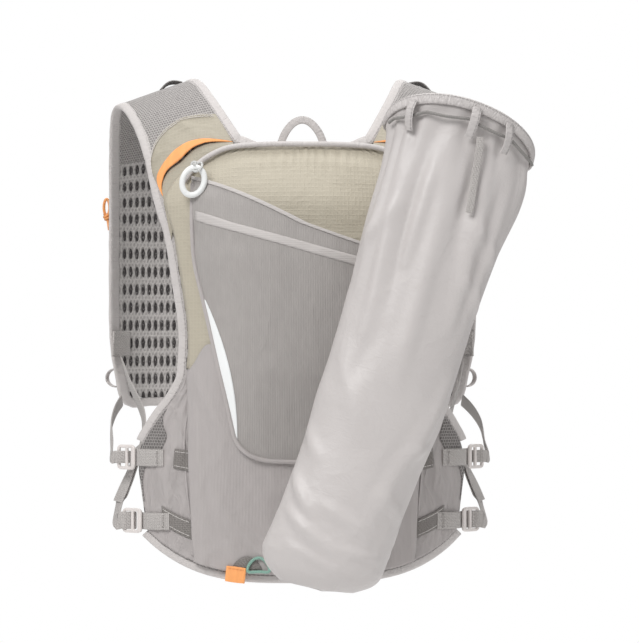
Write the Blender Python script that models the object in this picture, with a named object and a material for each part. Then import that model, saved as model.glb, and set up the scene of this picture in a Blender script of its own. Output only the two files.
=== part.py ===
"""Running hydration vest with a pole quiver, held in its worn form.

Metres, +Z up. The wearer faces +Y, so the back of the vest faces -Y. The origin lies midway
between the undersides of the two shoulder straps, at the top of the shoulders.
"""

import math

import bmesh
import bpy
import numpy as np
from mathutils import Vector

# Form of the wearer that the cloth lies on
BODY_HALF_WIDTH = 0.158
BODY_HALF_DEPTH = 0.100
BODY_SQUARENESS = 2.6
SHOULDER_SEAT = 0.712 * BODY_HALF_WIDTH
SHOULDER_SLOPE = 0.37
SHOULDER_RISE = 0.110
NECK_HALF_WIDTH = 0.060

# Cloth walls and gaps
PAD = 0.0030
CLOTH = 0.0014
WEBBING = 0.0015
LAYER_GAP = 0.0006
BAG_GAP = 0.0018
SEAM_GAP = 0.0004

# Bindings
BINDING_WIDTH = 0.0078
BINDING_WALL = 0.0042

# Back of the vest
VEST_DROP = 0.355
WING_HALF_WIDTH = 0.8165 * BODY_HALF_WIDTH
HEM_SAG = 0.0346
HEM_ROUNDNESS = 3.6

# Bag, lower panel and stash pocket
BAG_HALF_WIDTH = 0.693 * BODY_HALF_WIDTH
BAG_DEPTH = 0.021
PIPING_RADIUS = 0.0022
STASH_HALF_WIDTH = 0.7854 * BAG_HALF_WIDTH
STASH_EASE = 0.006
STASH_MOUTH_DROPS = (0.222, 0.405)
STASH_FOOT_DROP = 0.845
LOWER_PANEL_TOP = 0.595
WING_TOP = 0.705
SIDE_EASE = 0.001

# Front of the vest
FRONT_DROP = 0.71 * VEST_DROP
FRONT_ARM_EDGE = 0.9146 * BODY_HALF_WIDTH
POCKET_DEPTH = 0.019
POCKET_TOP = 0.46
POCKET_FOOT = 0.90
POCKET_INSET = 0.006
STERNUM_WEBBING = 0.012
CLASP_LENGTH = 0.026
CLASP_HEIGHT = 0.020
CLASP_DEPTH = 0.006
CLASP_EDGE = 0.0012

# Side straps and ladder locks
STRAP_WIDTH = 0.0140
NARROW_STRAP_WIDTH = 0.0100
LOCK_LENGTH = 0.0200
LOCK_HEIGHT = 0.0200
LOCK_WALL = 0.0030
LOCK_RAIL = 0.0026
LOCK_LIFT = 0.0010
STRAP_TAB_SPAN = (0.9515 * FRONT_ARM_EDGE, 1.0553 * FRONT_ARM_EDGE)
STRAP_TAB_WAYS = (0.778 * FRONT_DROP, 0.861 * FRONT_DROP)

# Small trim
HAUL_HALF_SPAN = 0.0165
HAUL_HEIGHT = 0.0240
HAUL_BAND = 0.0064
HAUL_WALL = 0.0030
RING_HALF_WIDTH = 0.0085
RING_HALF_HEIGHT = 0.0112
RING_TUBE = 0.0024
RING_CORD_RADIUS = 0.0011
RING_PLACE = (-0.758 * BAG_HALF_WIDTH, 0.235)
RING_DROOP = (0.35, 0, 1)
RING_CLEARANCE = 0.004
PIPING_END = (0.765, 0.198)
HEM_STRIP = 0.0056
HEM_STRIP_RISE = 0.004
HEM_STRIP_START = 0.585 * BAG_HALF_WIDTH
HEM_TAB_SPAN = (-0.562 * BAG_HALF_WIDTH, -0.425 * BAG_HALF_WIDTH)
HEM_TAB_DROPS = (1.114 * VEST_DROP, 1.079 * VEST_DROP)
HEM_TAB_WALL = 0.0020
HEM_CORD_RADIUS = 0.0012
HEM_CORD_PLACE = (-0.333 * BAG_HALF_WIDTH, 1.080 * VEST_DROP)
HEM_CORD_HALF_WIDTH = 0.0085
HEM_CORD_HALF_HEIGHT = 0.0055
SIDE_CORD_RADIUS = 0.0012
SIDE_CORD_PLACE = (-1.031 * FRONT_ARM_EDGE, 0.400 * FRONT_DROP)
SIDE_CORD_DEPTH = 0.0042
SIDE_CORD_HALF_HEIGHT = 0.0125
EDGE_LOOP_PLACE = (0.9965 * FRONT_ARM_EDGE, 0.933 * FRONT_DROP)
EDGE_LOOP_DEPTH = 0.0095
EDGE_LOOP_HALF_HEIGHT = 0.0075
EDGE_LOOP_WIDTH = 0.0050
EDGE_LOOP_WALL = 0.0012
HOSE_LOOP_SPAN = (0.598 * BODY_HALF_WIDTH, 0.747 * BODY_HALF_WIDTH)
HOSE_LOOP_WAY = 0.012
HOSE_LOOP_RISE = 0.0050
HOSE_LOOP_WIDTH = 0.0140

# Quiver
QUIVER_LENGTH = 0.362
QUIVER_TILT = math.radians(16.7)
QUIVER_LEAN = math.radians(2.5)
QUIVER_FOOT = (0.0085, -0.1800, -0.3975)
QUIVER_HALF_WIDTH = 0.0545
QUIVER_HALF_DEPTH = 0.0330
QUIVER_WALL = 0.0016
QUIVER_BASE_HEIGHT = 0.028
RIM_ARCH = 0.0265
RIM_WIDTH = 0.0085
RIM_WALL = 0.0032
DRAWCORD_RADIUS = 0.0013
LOOP_WIDTH = 0.0080
TAIL_WIDTH = 0.0060
DRAWCORD_DROP = 0.006
TAIL_DROP = 0.026
TAIL_LENGTH = 0.039
LOOP_TURNS = (("left", 122), ("middle", 84), ("right", 52))
HANGER_WIDTH = 0.0100
HANGER_RADIUS = 0.0015
HANGER_PLACE = (0.709 * BODY_HALF_WIDTH, -0.050)
HANGER_REACH = 0.90

# Grid rows that neighbouring pieces share
BACK_GRID = 20
FRONT_GRID = 10
QUIVER_GRID = 20

SIDES = (("left", -1), ("right", 1))

# Colour, roughness and metallic value of each finish
FINISHES = {
    "ripstop": ((0.42, 0.38, 0.28), 0.60, 0.0),
    "stretch_weave": ((0.38, 0.36, 0.34), 0.80, 0.0),
    "ribbed_weave": ((0.31, 0.29, 0.27), 0.85, 0.0),
    "binding_tape": ((0.62, 0.59, 0.56), 0.75, 0.0),
    "spacer_mesh": ((0.40, 0.38, 0.37), 0.90, 0.0),
    "net": ((0.33, 0.31, 0.30), 0.85, 0.0),
    "webbing": ((0.45, 0.43, 0.41), 0.70, 0.0),
    "dark_webbing": ((0.20, 0.19, 0.19), 0.75, 0.0),
    "pale_plastic": ((0.70, 0.67, 0.64), 0.40, 0.0),
    "grey_plastic": ((0.45, 0.44, 0.43), 0.45, 0.0),
    "coated_cloth": ((0.52, 0.50, 0.48), 0.45, 0.0),
    "orange_cloth": ((1.00, 0.42, 0.14), 0.60, 0.0),
    "teal_cord": ((0.28, 0.50, 0.42), 0.65, 0.0),
    "ring_rubber": ((0.78, 0.79, 0.77), 0.45, 0.0),
    "grey_cord": ((0.26, 0.25, 0.24), 0.70, 0.0),
}

# Back panel rows: share of VEST_DROP, share of WING_HALF_WIDTH
BACK_ROWS = {
    "drop": (0.152, 0.256, 0.335, 0.425, 0.527, 0.594, 0.662, 0.690, 0.728, 0.764, 0.805, 0.856, 0.955, 1.0),
    "half": (0.918, 0.866, 0.798, 0.762, 0.719, 0.713, 0.731, 0.767, 0.845, 0.915, 0.975, 1.0, 0.965, 0.946),
}

# Bag rows: share of VEST_DROP, share of BAG_HALF_WIDTH
BAG_ROWS = {
    "drop": (0.163, 0.180, 0.214, 0.256, 0.335, 0.425, 0.527, 0.662, 0.845, 0.985, 1.035),
    "half": (0.530, 0.740, 0.913, 1.000, 0.920, 0.875, 0.825, 0.822, 0.815, 0.785, 0.700),
}

# Fullness of the bag down its height: share of VEST_DROP, share of BAG_DEPTH
BAG_FILL = {
    "drop": (0.163, 0.200, 0.270, 0.380, 0.640, 0.800, 0.950, 1.035),
    "fill": (0.0, 0.30, 0.70, 0.95, 1.0, 0.70, 0.30, 0.0),
}

# Shoulder strap rows: share of the way from the back join to the front join,
# neck edge and arm edge as shares of BODY_HALF_WIDTH
STRAP_ROWS = {
    "way": (0.0, 0.12, 0.26, 0.40, 0.52, 0.66, 0.82, 1.0),
    "neck": (0.350, 0.432, 0.500, 0.548, 0.580, 0.570, 0.530, 0.480),
    "arm": (0.752, 0.782, 0.826, 0.868, 0.900, 0.912, 0.915, 0.915),
}

# Front panel rows: share of FRONT_DROP, centre edge and arm edge as shares of FRONT_ARM_EDGE
FRONT_ROWS = {
    "drop": (0.200, 0.320, 0.450, 0.600, 0.750, 0.880, 1.0),
    "centre": (0.525, 0.400, 0.300, 0.255, 0.250, 0.290, 0.400),
    "arm": (1.000, 1.000, 1.000, 1.000, 1.000, 0.985, 0.930),
}

# Lower and upper edges of the shoulder patch, at the neck and at the arm: shares of VEST_DROP
PATCH_NECK = (0.150, 0.092)
PATCH_ARM = (0.205, 0.139)

# Chest straps: share of FRONT_DROP, seam gaps between the strap and the binding
STERNUM_ROWS = (("upper", 0.34, 3), ("lower", 0.70, 2))

# Quiver loops: length above the tube's mouth in metres, lift as a share of the way over the cord
LOOP_STEPS = (
    (-0.024, 0.42),
    (-0.014, 0.85),
    (-0.009, 1.0),
    (-0.004, 1.0),
    (0.0015, 0.70),
    (0.0085, 0.58),
)

# Piping over the bag's upper edge, from its end to the middle: share of BAG_HALF_WIDTH,
# share of VEST_DROP
PIPING_ROWS = ((0.84, 0.226), PIPING_END, (0.64, 0.177), (0.50, 0.168), (0.25, 0.167), (0.0, 0.167))

# Ladder locks: distance from the middle as a share of BODY_HALF_WIDTH, share of VEST_DROP
LOCK_PLACES = {"upper": (0.873, 0.837), "lower": (0.845, 0.980)}

# Side straps from the front panel to the ladder lock: shares of BODY_HALF_WIDTH,
# BODY_HALF_DEPTH and VEST_DROP
STRAP_ROUTES = {
    "upper": (
        (0.905, 0.500, 0.716),
        (0.940, 0.250, 0.738),
        (0.965, -0.050, 0.770),
        (0.965, -0.330, 0.812),
    ),
    "lower": (
        (0.900, 0.500, 0.6270),
        (0.864, 0.170, 0.677),
        (0.800, -0.150, 0.749),
        (0.815, -0.350, 0.814),
        (0.868, -0.470, 0.880),
        (0.925, -0.500, 0.940),
    ),
}
STRAP_WIDTHS = {"upper": NARROW_STRAP_WIDTH, "lower": STRAP_WIDTH}

# Quiver rows: share of QUIVER_LENGTH, then left and right edges as shares of
# QUIVER_HALF_WIDTH, and depth as a share of QUIVER_HALF_DEPTH
QUIVER_ROWS = {
    "along": (0.0, 0.02, 0.055, 0.10, 0.20, 0.30, 0.40, 0.50, 0.65, 0.80, 0.90, 0.95, 1.0),
    "left": (0.62, 0.90, 1.04, 0.99, 0.94, 0.88, 0.90, 0.89, 0.90, 0.94, 0.96, 0.99, 1.05),
    "right": (0.48, 0.70, 0.79, 0.81, 0.84, 0.90, 1.00, 1.01, 1.02, 1.08, 1.15, 1.17, 1.13),
    "depth": (0.40, 0.72, 0.88, 0.96, 1.0, 1.0, 1.0, 1.0, 1.0, 1.0, 1.0, 1.0, 1.02),
}


def clear_scene():
    for obj in list(bpy.data.objects):
        bpy.data.objects.remove(obj)


def finish(name):
    """Material of that name with its colour, roughness and metallic value."""
    found = bpy.data.materials.get(name)
    if found:
        return found
    colour, roughness, metallic = FINISHES[name]
    material = bpy.data.materials.new(name)
    material.use_nodes = True
    shader = material.node_tree.nodes["Principled BSDF"]
    shader.inputs["Base Color"].default_value = (*colour, 1.0)
    shader.inputs["Roughness"].default_value = roughness
    shader.inputs["Metallic"].default_value = metallic
    return material


def add_mesh(name, mesh_data, material, smooth_angle=50):
    """Scene object holding the bmesh, shaded smooth up to the angle given in degrees."""
    mesh = bpy.data.meshes.new(name)
    mesh_data.to_mesh(mesh)
    mesh_data.free()
    mesh.shade_smooth()
    mesh.set_sharp_from_angle(angle=math.radians(smooth_angle))
    obj = bpy.data.objects.new(name, mesh)
    obj.data.materials.append(finish(material))
    bpy.context.scene.collection.objects.link(obj)
    return obj


def column(table, key, by, value):
    """Value read from a table's column, straight between its rows."""
    return float(np.interp(value, table[by], table[key]))


def smooth_step(low, high, value):
    share = min(max((value - low) / (high - low), 0.0), 1.0)
    return share * share * (3 - 2 * share)


def mix(first, second, share):
    return first + (second - first) * share


def crest_height(x):
    """Height of the shoulder line, falling from the neck to the arm."""
    out = (x**4 + NECK_HALF_WIDTH**4) ** 0.25
    return SHOULDER_SLOPE * (SHOULDER_SEAT - out)


def half_depth(x):
    share = min(abs(x) / BODY_HALF_WIDTH, 0.995)
    return BODY_HALF_DEPTH * (1 - share**BODY_SQUARENESS) ** (1 / BODY_SQUARENESS)


def quarter_profile(steps=60):
    """Distance from the crest and turn of the shoulder's round, at the seat of the strap."""
    turns = np.linspace(math.pi / 2, 0, steps)
    y = half_depth(SHOULDER_SEAT) * np.cos(turns)
    z = SHOULDER_RISE * np.sin(turns)
    lengths = np.concatenate(([0.0], np.cumsum(np.hypot(np.diff(y), np.diff(z)))))
    return lengths, turns


ARC_LENGTHS, ARC_TURNS = quarter_profile()
ARC = float(ARC_LENGTHS[-1])


def way_down(drop):
    """Distance over the cloth from the crest to the level that lies this far below it."""
    if drop >= SHOULDER_RISE:
        return ARC + drop - SHOULDER_RISE
    turn = math.asin(1 - drop / SHOULDER_RISE)
    return float(np.interp(-turn, -ARC_TURNS, ARC_LENGTHS))


def form_point(x, way):
    """Point on the wearer: way is the distance from the crest, below zero down the back."""
    side = -1 if way < 0 else 1
    turn = float(np.interp(abs(way), ARC_LENGTHS, ARC_TURNS))
    below = max(abs(way) - ARC, 0.0)
    y = side * half_depth(x) * math.cos(turn)
    z = -SHOULDER_RISE + (crest_height(x) + SHOULDER_RISE) * math.sin(turn) - below
    return Vector((x, y, z))


def on_form(x, way, lift=0.0):
    """Point lifted off the wearer along the outward normal."""
    step = 0.0005
    across = form_point(x + step, way) - form_point(x - step, way)
    along = form_point(x, way + step) - form_point(x, way - step)
    return form_point(x, way) + across.cross(along).normalized() * lift


def on_girth(angle, height, lift=0.0):
    """Point round the waist: angle 0 at the wearer's right side (+X), 90 degrees at the front."""

    def girth_point(turn):
        cos, sin = math.cos(turn), math.sin(turn)
        power = 2 / BODY_SQUARENESS
        x = BODY_HALF_WIDTH * math.copysign(abs(cos) ** power, cos)
        y = BODY_HALF_DEPTH * math.copysign(abs(sin) ** power, sin)
        return Vector((x, y, height))

    step = 0.01
    tangent = girth_point(angle + step) - girth_point(angle - step)
    outward = tangent.cross(Vector((0, 0, 1))).normalized()
    return girth_point(angle) + outward * lift


def sheet(name, surface, wall, material, across, along, flip=False, centred=False):
    """Cloth wall: a grid laid on surface(u, v), with its thickness added outward."""
    grid = bmesh.new()
    bmesh.ops.create_grid(grid, x_segments=across, y_segments=along, size=1.0)
    for vert in grid.verts:
        vert.co = surface((vert.co.x + 1) / 2, (vert.co.y + 1) / 2)
    if flip:
        bmesh.ops.reverse_faces(grid, faces=grid.faces)
    obj = add_mesh(name, grid, material)
    thickness = obj.modifiers.new("Wall", "SOLIDIFY")
    thickness.thickness = wall
    thickness.offset = 0.0 if centred else 1.0
    thickness.use_even_offset = True
    return obj


def smooth_route(points, spacing):
    """Points of a smooth curve through the given ones, at about the given spacing."""
    knots = [Vector(point) for point in points]
    knots = [knots[0] * 2 - knots[1]] + knots + [knots[-1] * 2 - knots[-2]]
    fine = []
    for i in range(1, len(knots) - 2):
        before, start, end, after = knots[i - 1 : i + 3]
        steps = max(2, round((end - start).length / spacing))
        for step in range(steps):
            t = step / steps
            fine.append(
                0.5
                * (
                    2 * start
                    + (end - before) * t
                    + (2 * before - 5 * start + 4 * end - after) * t**2
                    + (3 * start - before - 3 * end + after) * t**3
                )
            )
    fine.append(knots[-2])
    return fine


def tube(name, points, radius, material, cyclic=False, resolution=2):
    """Round tube along a poly line of points."""
    curve = bpy.data.curves.new(name, "CURVE")
    curve.dimensions = "3D"
    curve.bevel_depth = radius
    curve.bevel_resolution = resolution
    curve.use_fill_caps = not cyclic
    spline = curve.splines.new("POLY")
    spline.points.add(len(points) - 1)
    for slot, point in zip(spline.points, points):
        slot.co = (*point, 1.0)
        slot.radius = 1.0
    spline.use_cyclic_u = cyclic
    spline.use_smooth = True
    obj = bpy.data.objects.new(name, curve)
    obj.data.materials.append(finish(material))
    bpy.context.scene.collection.objects.link(obj)
    return obj


def ribbon(name, route, facing, width, wall, material, sideways=None):
    """Flat webbing along the route, its face turned to facing(point), or its width to sideways."""

    def surface(u, v):
        place = v * (len(route) - 1)
        i = min(int(place), len(route) - 2)
        point = route[i].lerp(route[i + 1], place - i)
        ahead = route[min(i + 1, len(route) - 1)] - route[max(i - 1, 0)]
        side = sideways or ahead.cross(facing(point)).normalized()
        return point + side * (u - 0.5) * width

    return sheet(name, surface, wall, material, 1, len(route) - 1, centred=True)


def edge_binding(name, edge, width, material, outward=1):
    """Tape folded over a panel's edge: edge is a list of (x, way), outward picks its free side."""
    flat = [Vector(point) for point in edge]

    def surface(u, v):
        place = v * (len(flat) - 1)
        i = min(int(place), len(flat) - 2)
        point = flat[i].lerp(flat[i + 1], place - i)
        ahead = (flat[min(i + 1, len(flat) - 1)] - flat[max(i - 1, 0)]).normalized()
        side = Vector((ahead.y, -ahead.x)) * outward
        across = SEAM_GAP + u * width
        spot = point + side * across
        return on_form(spot.x, spot.y, (PAD - BINDING_WALL) / 2)

    return sheet(name, surface, BINDING_WALL, material, 1, len(flat) - 1, flip=outward < 0)


def hem_sag(x):
    """How far the hem hangs below its corners at this distance from the middle."""
    share = min(abs(x) / (WING_HALF_WIDTH * BACK_ROWS["half"][-1]), 1.0)
    return HEM_SAG * (1 - share**HEM_ROUNDNESS)


def back_way(x, drop_share):
    """Way down the back for a row, which sags more the nearer it lies to the hem."""
    sag = hem_sag(x) * smooth_step(0.70, 1.0, drop_share)
    return -way_down(VEST_DROP * drop_share + sag)


def back_half(drop_share):
    return WING_HALF_WIDTH * column(BACK_ROWS, "half", "drop", drop_share)


def bag_half(drop_share):
    return BAG_HALF_WIDTH * column(BAG_ROWS, "half", "drop", drop_share)


def bag_lift(x, drop_share):
    """Lift of the bag's inner face off the wearer."""
    share = min(abs(x) / bag_half(drop_share), 1.0)
    fill = column(BAG_FILL, "fill", "drop", drop_share)
    return PAD + BAG_GAP + BAG_DEPTH * fill * (1 - share**3)


def back_panel():
    """Spacer mesh against the wearer's back, from the neck edge to the hem."""
    top, bottom = BACK_ROWS["drop"][0], BACK_ROWS["drop"][-1]

    def surface(u, v):
        drop = mix(bottom, top, v)
        x = (2 * u - 1) * back_half(drop)
        return on_form(x, back_way(x, drop))

    sheet("back_panel", surface, PAD, "spacer_mesh", 16, BACK_GRID)


def main_bag():
    """Reservoir bag: a full shell of ripstop, open toward the back panel."""
    top, bottom = BAG_ROWS["drop"][0], BAG_ROWS["drop"][-1]

    def surface(u, v):
        drop = mix(bottom, top, v)
        x = (2 * u - 1) * bag_half(drop)
        return on_form(x, -way_down(VEST_DROP * drop), bag_lift(x, drop))

    sheet("main_bag", surface, CLOTH, "ripstop", 12, 18)


def lower_panel():
    """Stretch panel over the lower half of the bag, down to the hem."""
    lift = CLOTH + 2 * LAYER_GAP
    low = BAG_ROWS["drop"][-1]

    def surface(u, v):
        drop = mix(1.0, LOWER_PANEL_TOP, v)
        x = (2 * u - 1) * (bag_half(min(drop, BAG_ROWS["drop"][-2])) - SIDE_EASE)
        sag = hem_sag(x) * smooth_step(0.80, 1.0, drop)
        level = drop + sag / VEST_DROP
        return on_form(x, -way_down(VEST_DROP * level), bag_lift(x, min(level, low)) + lift)

    sheet("lower_panel", surface, CLOTH, "stretch_weave", 12, 9)


def stash_edges(v):
    """Left and right edges of the stash pocket, straight from the foot to the slanted mouth."""
    foot = 0.62 * STASH_HALF_WIDTH
    left = mix(-foot, -STASH_HALF_WIDTH, min(v * 1.35, 1.0))
    right = mix(foot, STASH_HALF_WIDTH * 1.02, v)
    return left, right


def stash_point(u, v, lift):
    left, right = stash_edges(v)
    x = mix(left, right, u)
    foot = STASH_FOOT_DROP - 0.10 * abs(2 * u - 1) ** 2.5
    drop = mix(foot, mix(*STASH_MOUTH_DROPS, u), v)
    return on_form(x, -way_down(VEST_DROP * drop), bag_lift(x, drop) + lift)


def stash_pocket():
    """Ribbed pocket with a slanted mouth that stands off the bag."""
    lift = 2 * CLOTH + 4 * LAYER_GAP

    def surface(u, v):
        ease = STASH_EASE * (1 - abs(2 * u - 1) ** 3) * smooth_step(0.15, 1.0, v)
        return stash_point(u, v, lift + ease)

    sheet("stash_pocket", surface, CLOTH, "ribbed_weave", 9, 8)


def wings():
    """Side wings of the back, each a crinkled cloth over the back panel."""
    lift = PAD + LAYER_GAP
    seam = BAG_HALF_WIDTH * BAG_ROWS["half"][-3] + SEAM_GAP + CLOTH

    for word, side in SIDES:

        def surface(u, v):
            drop = mix(1.0, WING_TOP, v)
            x = side * mix(seam, back_half(drop) - SIDE_EASE, u)
            return on_form(x, back_way(x, drop), lift)

        sheet(f"wing_{word}", surface, CLOTH, "stretch_weave", 3, 9, flip=side < 0)


def strap_edges(way_share):
    neck = BODY_HALF_WIDTH * column(STRAP_ROWS, "neck", "way", way_share)
    arm = BODY_HALF_WIDTH * column(STRAP_ROWS, "arm", "way", way_share)
    return neck, arm


BACK_JOIN = -way_down(VEST_DROP * BACK_ROWS["drop"][0]) + SEAM_GAP
FRONT_JOIN = way_down(FRONT_DROP * FRONT_ROWS["drop"][0]) - SEAM_GAP


def shoulder_straps():
    """Net straps over the shoulders, from the back panel to the front panels."""
    for word, side in SIDES:

        def surface(u, v):
            neck, arm = strap_edges(v)
            return on_form(side * mix(neck, arm, u), mix(BACK_JOIN, FRONT_JOIN, v))

        sheet(f"shoulder_strap_{word}", surface, PAD, "net", 5, 12, flip=side < 0)


def shoulder_patches():
    """Ripstop patches over the foot of each shoulder strap, arched over the bag's shoulder."""
    lift = PAD + LAYER_GAP
    neck_low, neck_high = PATCH_NECK
    arm_low, arm_high = PATCH_ARM

    for word, side in SIDES:

        def surface(u, v):
            drop = mix(mix(neck_low, arm_low, u), mix(neck_high, arm_high, u), v)
            way = -way_down(VEST_DROP * drop)
            share = (way - BACK_JOIN) / (FRONT_JOIN - BACK_JOIN)
            neck, arm = strap_edges(max(share, 0.0))
            arm = min(arm, back_half(drop)) if drop > BACK_ROWS["drop"][0] else arm
            return on_form(side * mix(neck + SIDE_EASE, arm - SIDE_EASE, u), way, lift)

        sheet(f"shoulder_patch_{word}", surface, CLOTH, "ripstop", 6, 3, flip=side < 0)


def front_edges(drop_share):
    centre = FRONT_ARM_EDGE * column(FRONT_ROWS, "centre", "drop", drop_share)
    arm = FRONT_ARM_EDGE * column(FRONT_ROWS, "arm", "drop", drop_share)
    return centre, arm


def front_panels():
    """Spacer mesh panels on the chest, one on each side."""
    top, bottom = FRONT_ROWS["drop"][0], FRONT_ROWS["drop"][-1]

    for word, side in SIDES:

        def surface(u, v):
            drop = mix(top, bottom, v)
            centre, arm = front_edges(drop)
            return on_form(side * mix(centre, arm, u), way_down(FRONT_DROP * drop))

        sheet(f"front_panel_{word}", surface, PAD, "spacer_mesh", 7, FRONT_GRID, flip=side < 0)


def front_pockets():
    """Flask pockets on the front panels, open at the top."""
    for word, side in SIDES:

        def surface(u, v):
            drop = mix(POCKET_TOP, POCKET_FOOT, v)
            centre, arm = front_edges(drop)
            x = side * mix(centre + POCKET_INSET, arm - SIDE_EASE, u)
            full = (1 - abs(2 * u - 1) ** 3) * (1 - smooth_step(0.55, 1.0, v))
            lift = PAD + LAYER_GAP + POCKET_DEPTH * full
            return on_form(x, way_down(FRONT_DROP * drop), lift)

        sheet(f"front_pocket_{word}", surface, CLOTH, "stretch_weave", 8, 6, flip=side < 0)


def back_drops(low):
    """Row levels of the back panel, from the top down to this level."""
    top, bottom = BACK_ROWS["drop"][0], BACK_ROWS["drop"][-1]
    rows = [mix(top, bottom, i / BACK_GRID) for i in range(BACK_GRID + 1)]
    return [drop for drop in rows if drop <= low]


def strap_path(which, start, end, steps):
    """Points along one edge of the shoulder strap: which is 0 at the neck, 1 at the arm."""
    points = []
    for i in range(steps + 1):
        share = mix(start, end, i / steps)
        points.append((strap_edges(share)[which], mix(BACK_JOIN, FRONT_JOIN, share)))
    return points


def front_path(which):
    rows = [mix(FRONT_ROWS["drop"][0], 1.0, i / FRONT_GRID) for i in range(FRONT_GRID + 1)]
    return [(front_edges(drop)[which], way_down(FRONT_DROP * drop)) for drop in rows]


def mirrored(path, side):
    return [(side * x, way) for x, way in path]


def neck_bindings():
    """Tape from the middle of the neck over the shoulder and down the front edge."""
    neck_half = strap_edges(0.0)[0]
    path = [(neck_half * i / 5 + SEAM_GAP, BACK_JOIN) for i in range(5)]
    path += strap_path(0, 0.0, 1.0, 12) + front_path(0)[1:]
    for word, side in SIDES:
        edge_binding(f"neck_binding_{word}", mirrored(path, side), BINDING_WIDTH, "binding_tape", -side)


def arm_bindings():
    """Tape round each armhole, from the wing over the shoulder and under the front panel."""
    path = [(back_half(drop), -way_down(VEST_DROP * drop)) for drop in reversed(back_drops(0.79))]
    path += strap_path(1, 0.0, 1.0, 12) + front_path(1)[1:]
    centre, arm = front_edges(1.0)
    path += [(mix(arm, centre + SIDE_EASE, i / 5), way_down(FRONT_DROP)) for i in range(1, 6)]
    for word, side in SIDES:
        edge_binding(f"arm_binding_{word}", mirrored(path, side), BINDING_WIDTH, "binding_tape", side)


def hem_binding():
    """Tape along the hem, from one lower corner of the back to the other."""
    half = back_half(1.0)
    path = [(half * math.sin(math.pi / 2 * i / 12), 0.0) for i in range(-12, 13)]
    path = [(x, back_way(x, 1.0)) for x, _ in path]
    edge_binding("hem_binding", path, BINDING_WIDTH, "binding_tape", 1)


def orange_hems():
    """Bright hem of each shoulder pocket, arched off the bag below the patch."""
    for word, side in SIDES:

        def surface(u, v):
            neck, arm = strap_edges(0.0)
            reach = mix(HEM_STRIP_START, BAG_HALF_WIDTH, v)
            patch_share = min((reach - neck) / (arm - neck), 1.0)
            edge = mix(PATCH_NECK[0], PATCH_ARM[0], patch_share) + 0.03 * smooth_step(0.7, 1.0, v)
            wide = HEM_STRIP * math.sin(math.pi * mix(0.12, 0.94, v))
            way = -way_down(VEST_DROP * edge) - 3 * SEAM_GAP - u * wide
            rise = HEM_STRIP_RISE * math.sin(math.pi * v)
            return on_form(side * reach, way, PAD + CLOTH + 2 * LAYER_GAP + rise)

        sheet(f"orange_hem_{word}", surface, CLOTH, "orange_cloth", 1, 12, flip=side > 0)


def bag_piping():
    """Round piping over the bag's upper edge."""
    path = [(-x, drop) for x, drop in PIPING_ROWS]
    path += [(x, drop) for x, drop in reversed(PIPING_ROWS[:-1])]
    points = []
    for x_share, drop in path:
        x = x_share * BAG_HALF_WIDTH
        lift = bag_lift(x, drop) + CLOTH + BAG_GAP + PIPING_RADIUS
        points.append(on_form(x, -way_down(VEST_DROP * drop), lift))
    tube("bag_piping", smooth_route(points, 0.012), PIPING_RADIUS, "binding_tape")


def haul_loop():
    """Flat arch of folded webbing that stands on the neck edge."""
    foot = on_form(0.0, BACK_JOIN + BINDING_WIDTH + 4 * SEAM_GAP, PAD / 2)
    route = []
    for i in range(17):
        turn = math.pi * i / 16
        x = -HAUL_HALF_SPAN * math.cos(turn) * (1 - 0.1 * math.sin(turn))
        z = (HAUL_HEIGHT - HAUL_BAND / 2) * math.sin(turn) ** 0.75
        route.append(Vector((x, foot.y, foot.z + z)))
    ribbon("haul_loop", route, lambda point: Vector((0, -1, 0)), HAUL_BAND, HAUL_WALL, "binding_tape")


def ring_centre():
    """Middle of the pull ring, which hangs clear of the bag's upper corner."""
    x, drop = RING_PLACE
    lift = bag_lift(x, drop) + 4 * CLOTH + 2 * RING_TUBE + RING_CLEARANCE
    return on_form(x, -way_down(VEST_DROP * drop), lift)


def zip_ring():
    """Oval pull ring that hangs at the upper corner of the bag."""
    centre = ring_centre()
    points = []
    for i in range(16):
        turn = 2 * math.pi * i / 16
        flat = Vector((RING_HALF_WIDTH * math.cos(turn), 0, RING_HALF_HEIGHT * math.sin(turn)))
        flat.rotate(Vector((0, 0, 1)).rotation_difference(Vector(RING_DROOP)))
        points.append(centre + flat)
    tube("zip_ring", points, RING_TUBE, "ring_rubber", cyclic=True, resolution=3)


def ring_cord():
    """Short cord from the piping to the top of the pull ring."""
    tip = ring_centre() + Vector((0.0007, 0.0, RING_HALF_HEIGHT + RING_TUBE + RING_CORD_RADIUS))
    x, drop = -PIPING_END[0] * BAG_HALF_WIDTH, PIPING_END[1]
    lift = bag_lift(x, drop) + CLOTH + BAG_GAP + 2 * PIPING_RADIUS + RING_CORD_RADIUS + SEAM_GAP
    start = on_form(x, -way_down(VEST_DROP * drop), lift)
    route = [start, start.lerp(tip, 0.5) + Vector((0, 0, 0.002)), tip]
    tube("ring_cord", smooth_route(route, 0.004), RING_CORD_RADIUS, "grey_cord")


QUIVER_UP = Vector(
    (
        math.sin(QUIVER_TILT) * math.cos(QUIVER_LEAN),
        math.sin(QUIVER_LEAN),
        math.cos(QUIVER_TILT) * math.cos(QUIVER_LEAN),
    )
)
QUIVER_ACROSS = Vector((math.cos(QUIVER_TILT), 0, -math.sin(QUIVER_TILT)))
QUIVER_NEAR = QUIVER_ACROSS.cross(QUIVER_UP)


def mouth_arch(turn):
    """Rise of the quiver's mouth: high on the side away from the wearer, low on the other."""
    near = math.sin(turn)
    return RIM_ARCH * (near if near > 0 else 0.30 * near)


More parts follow.
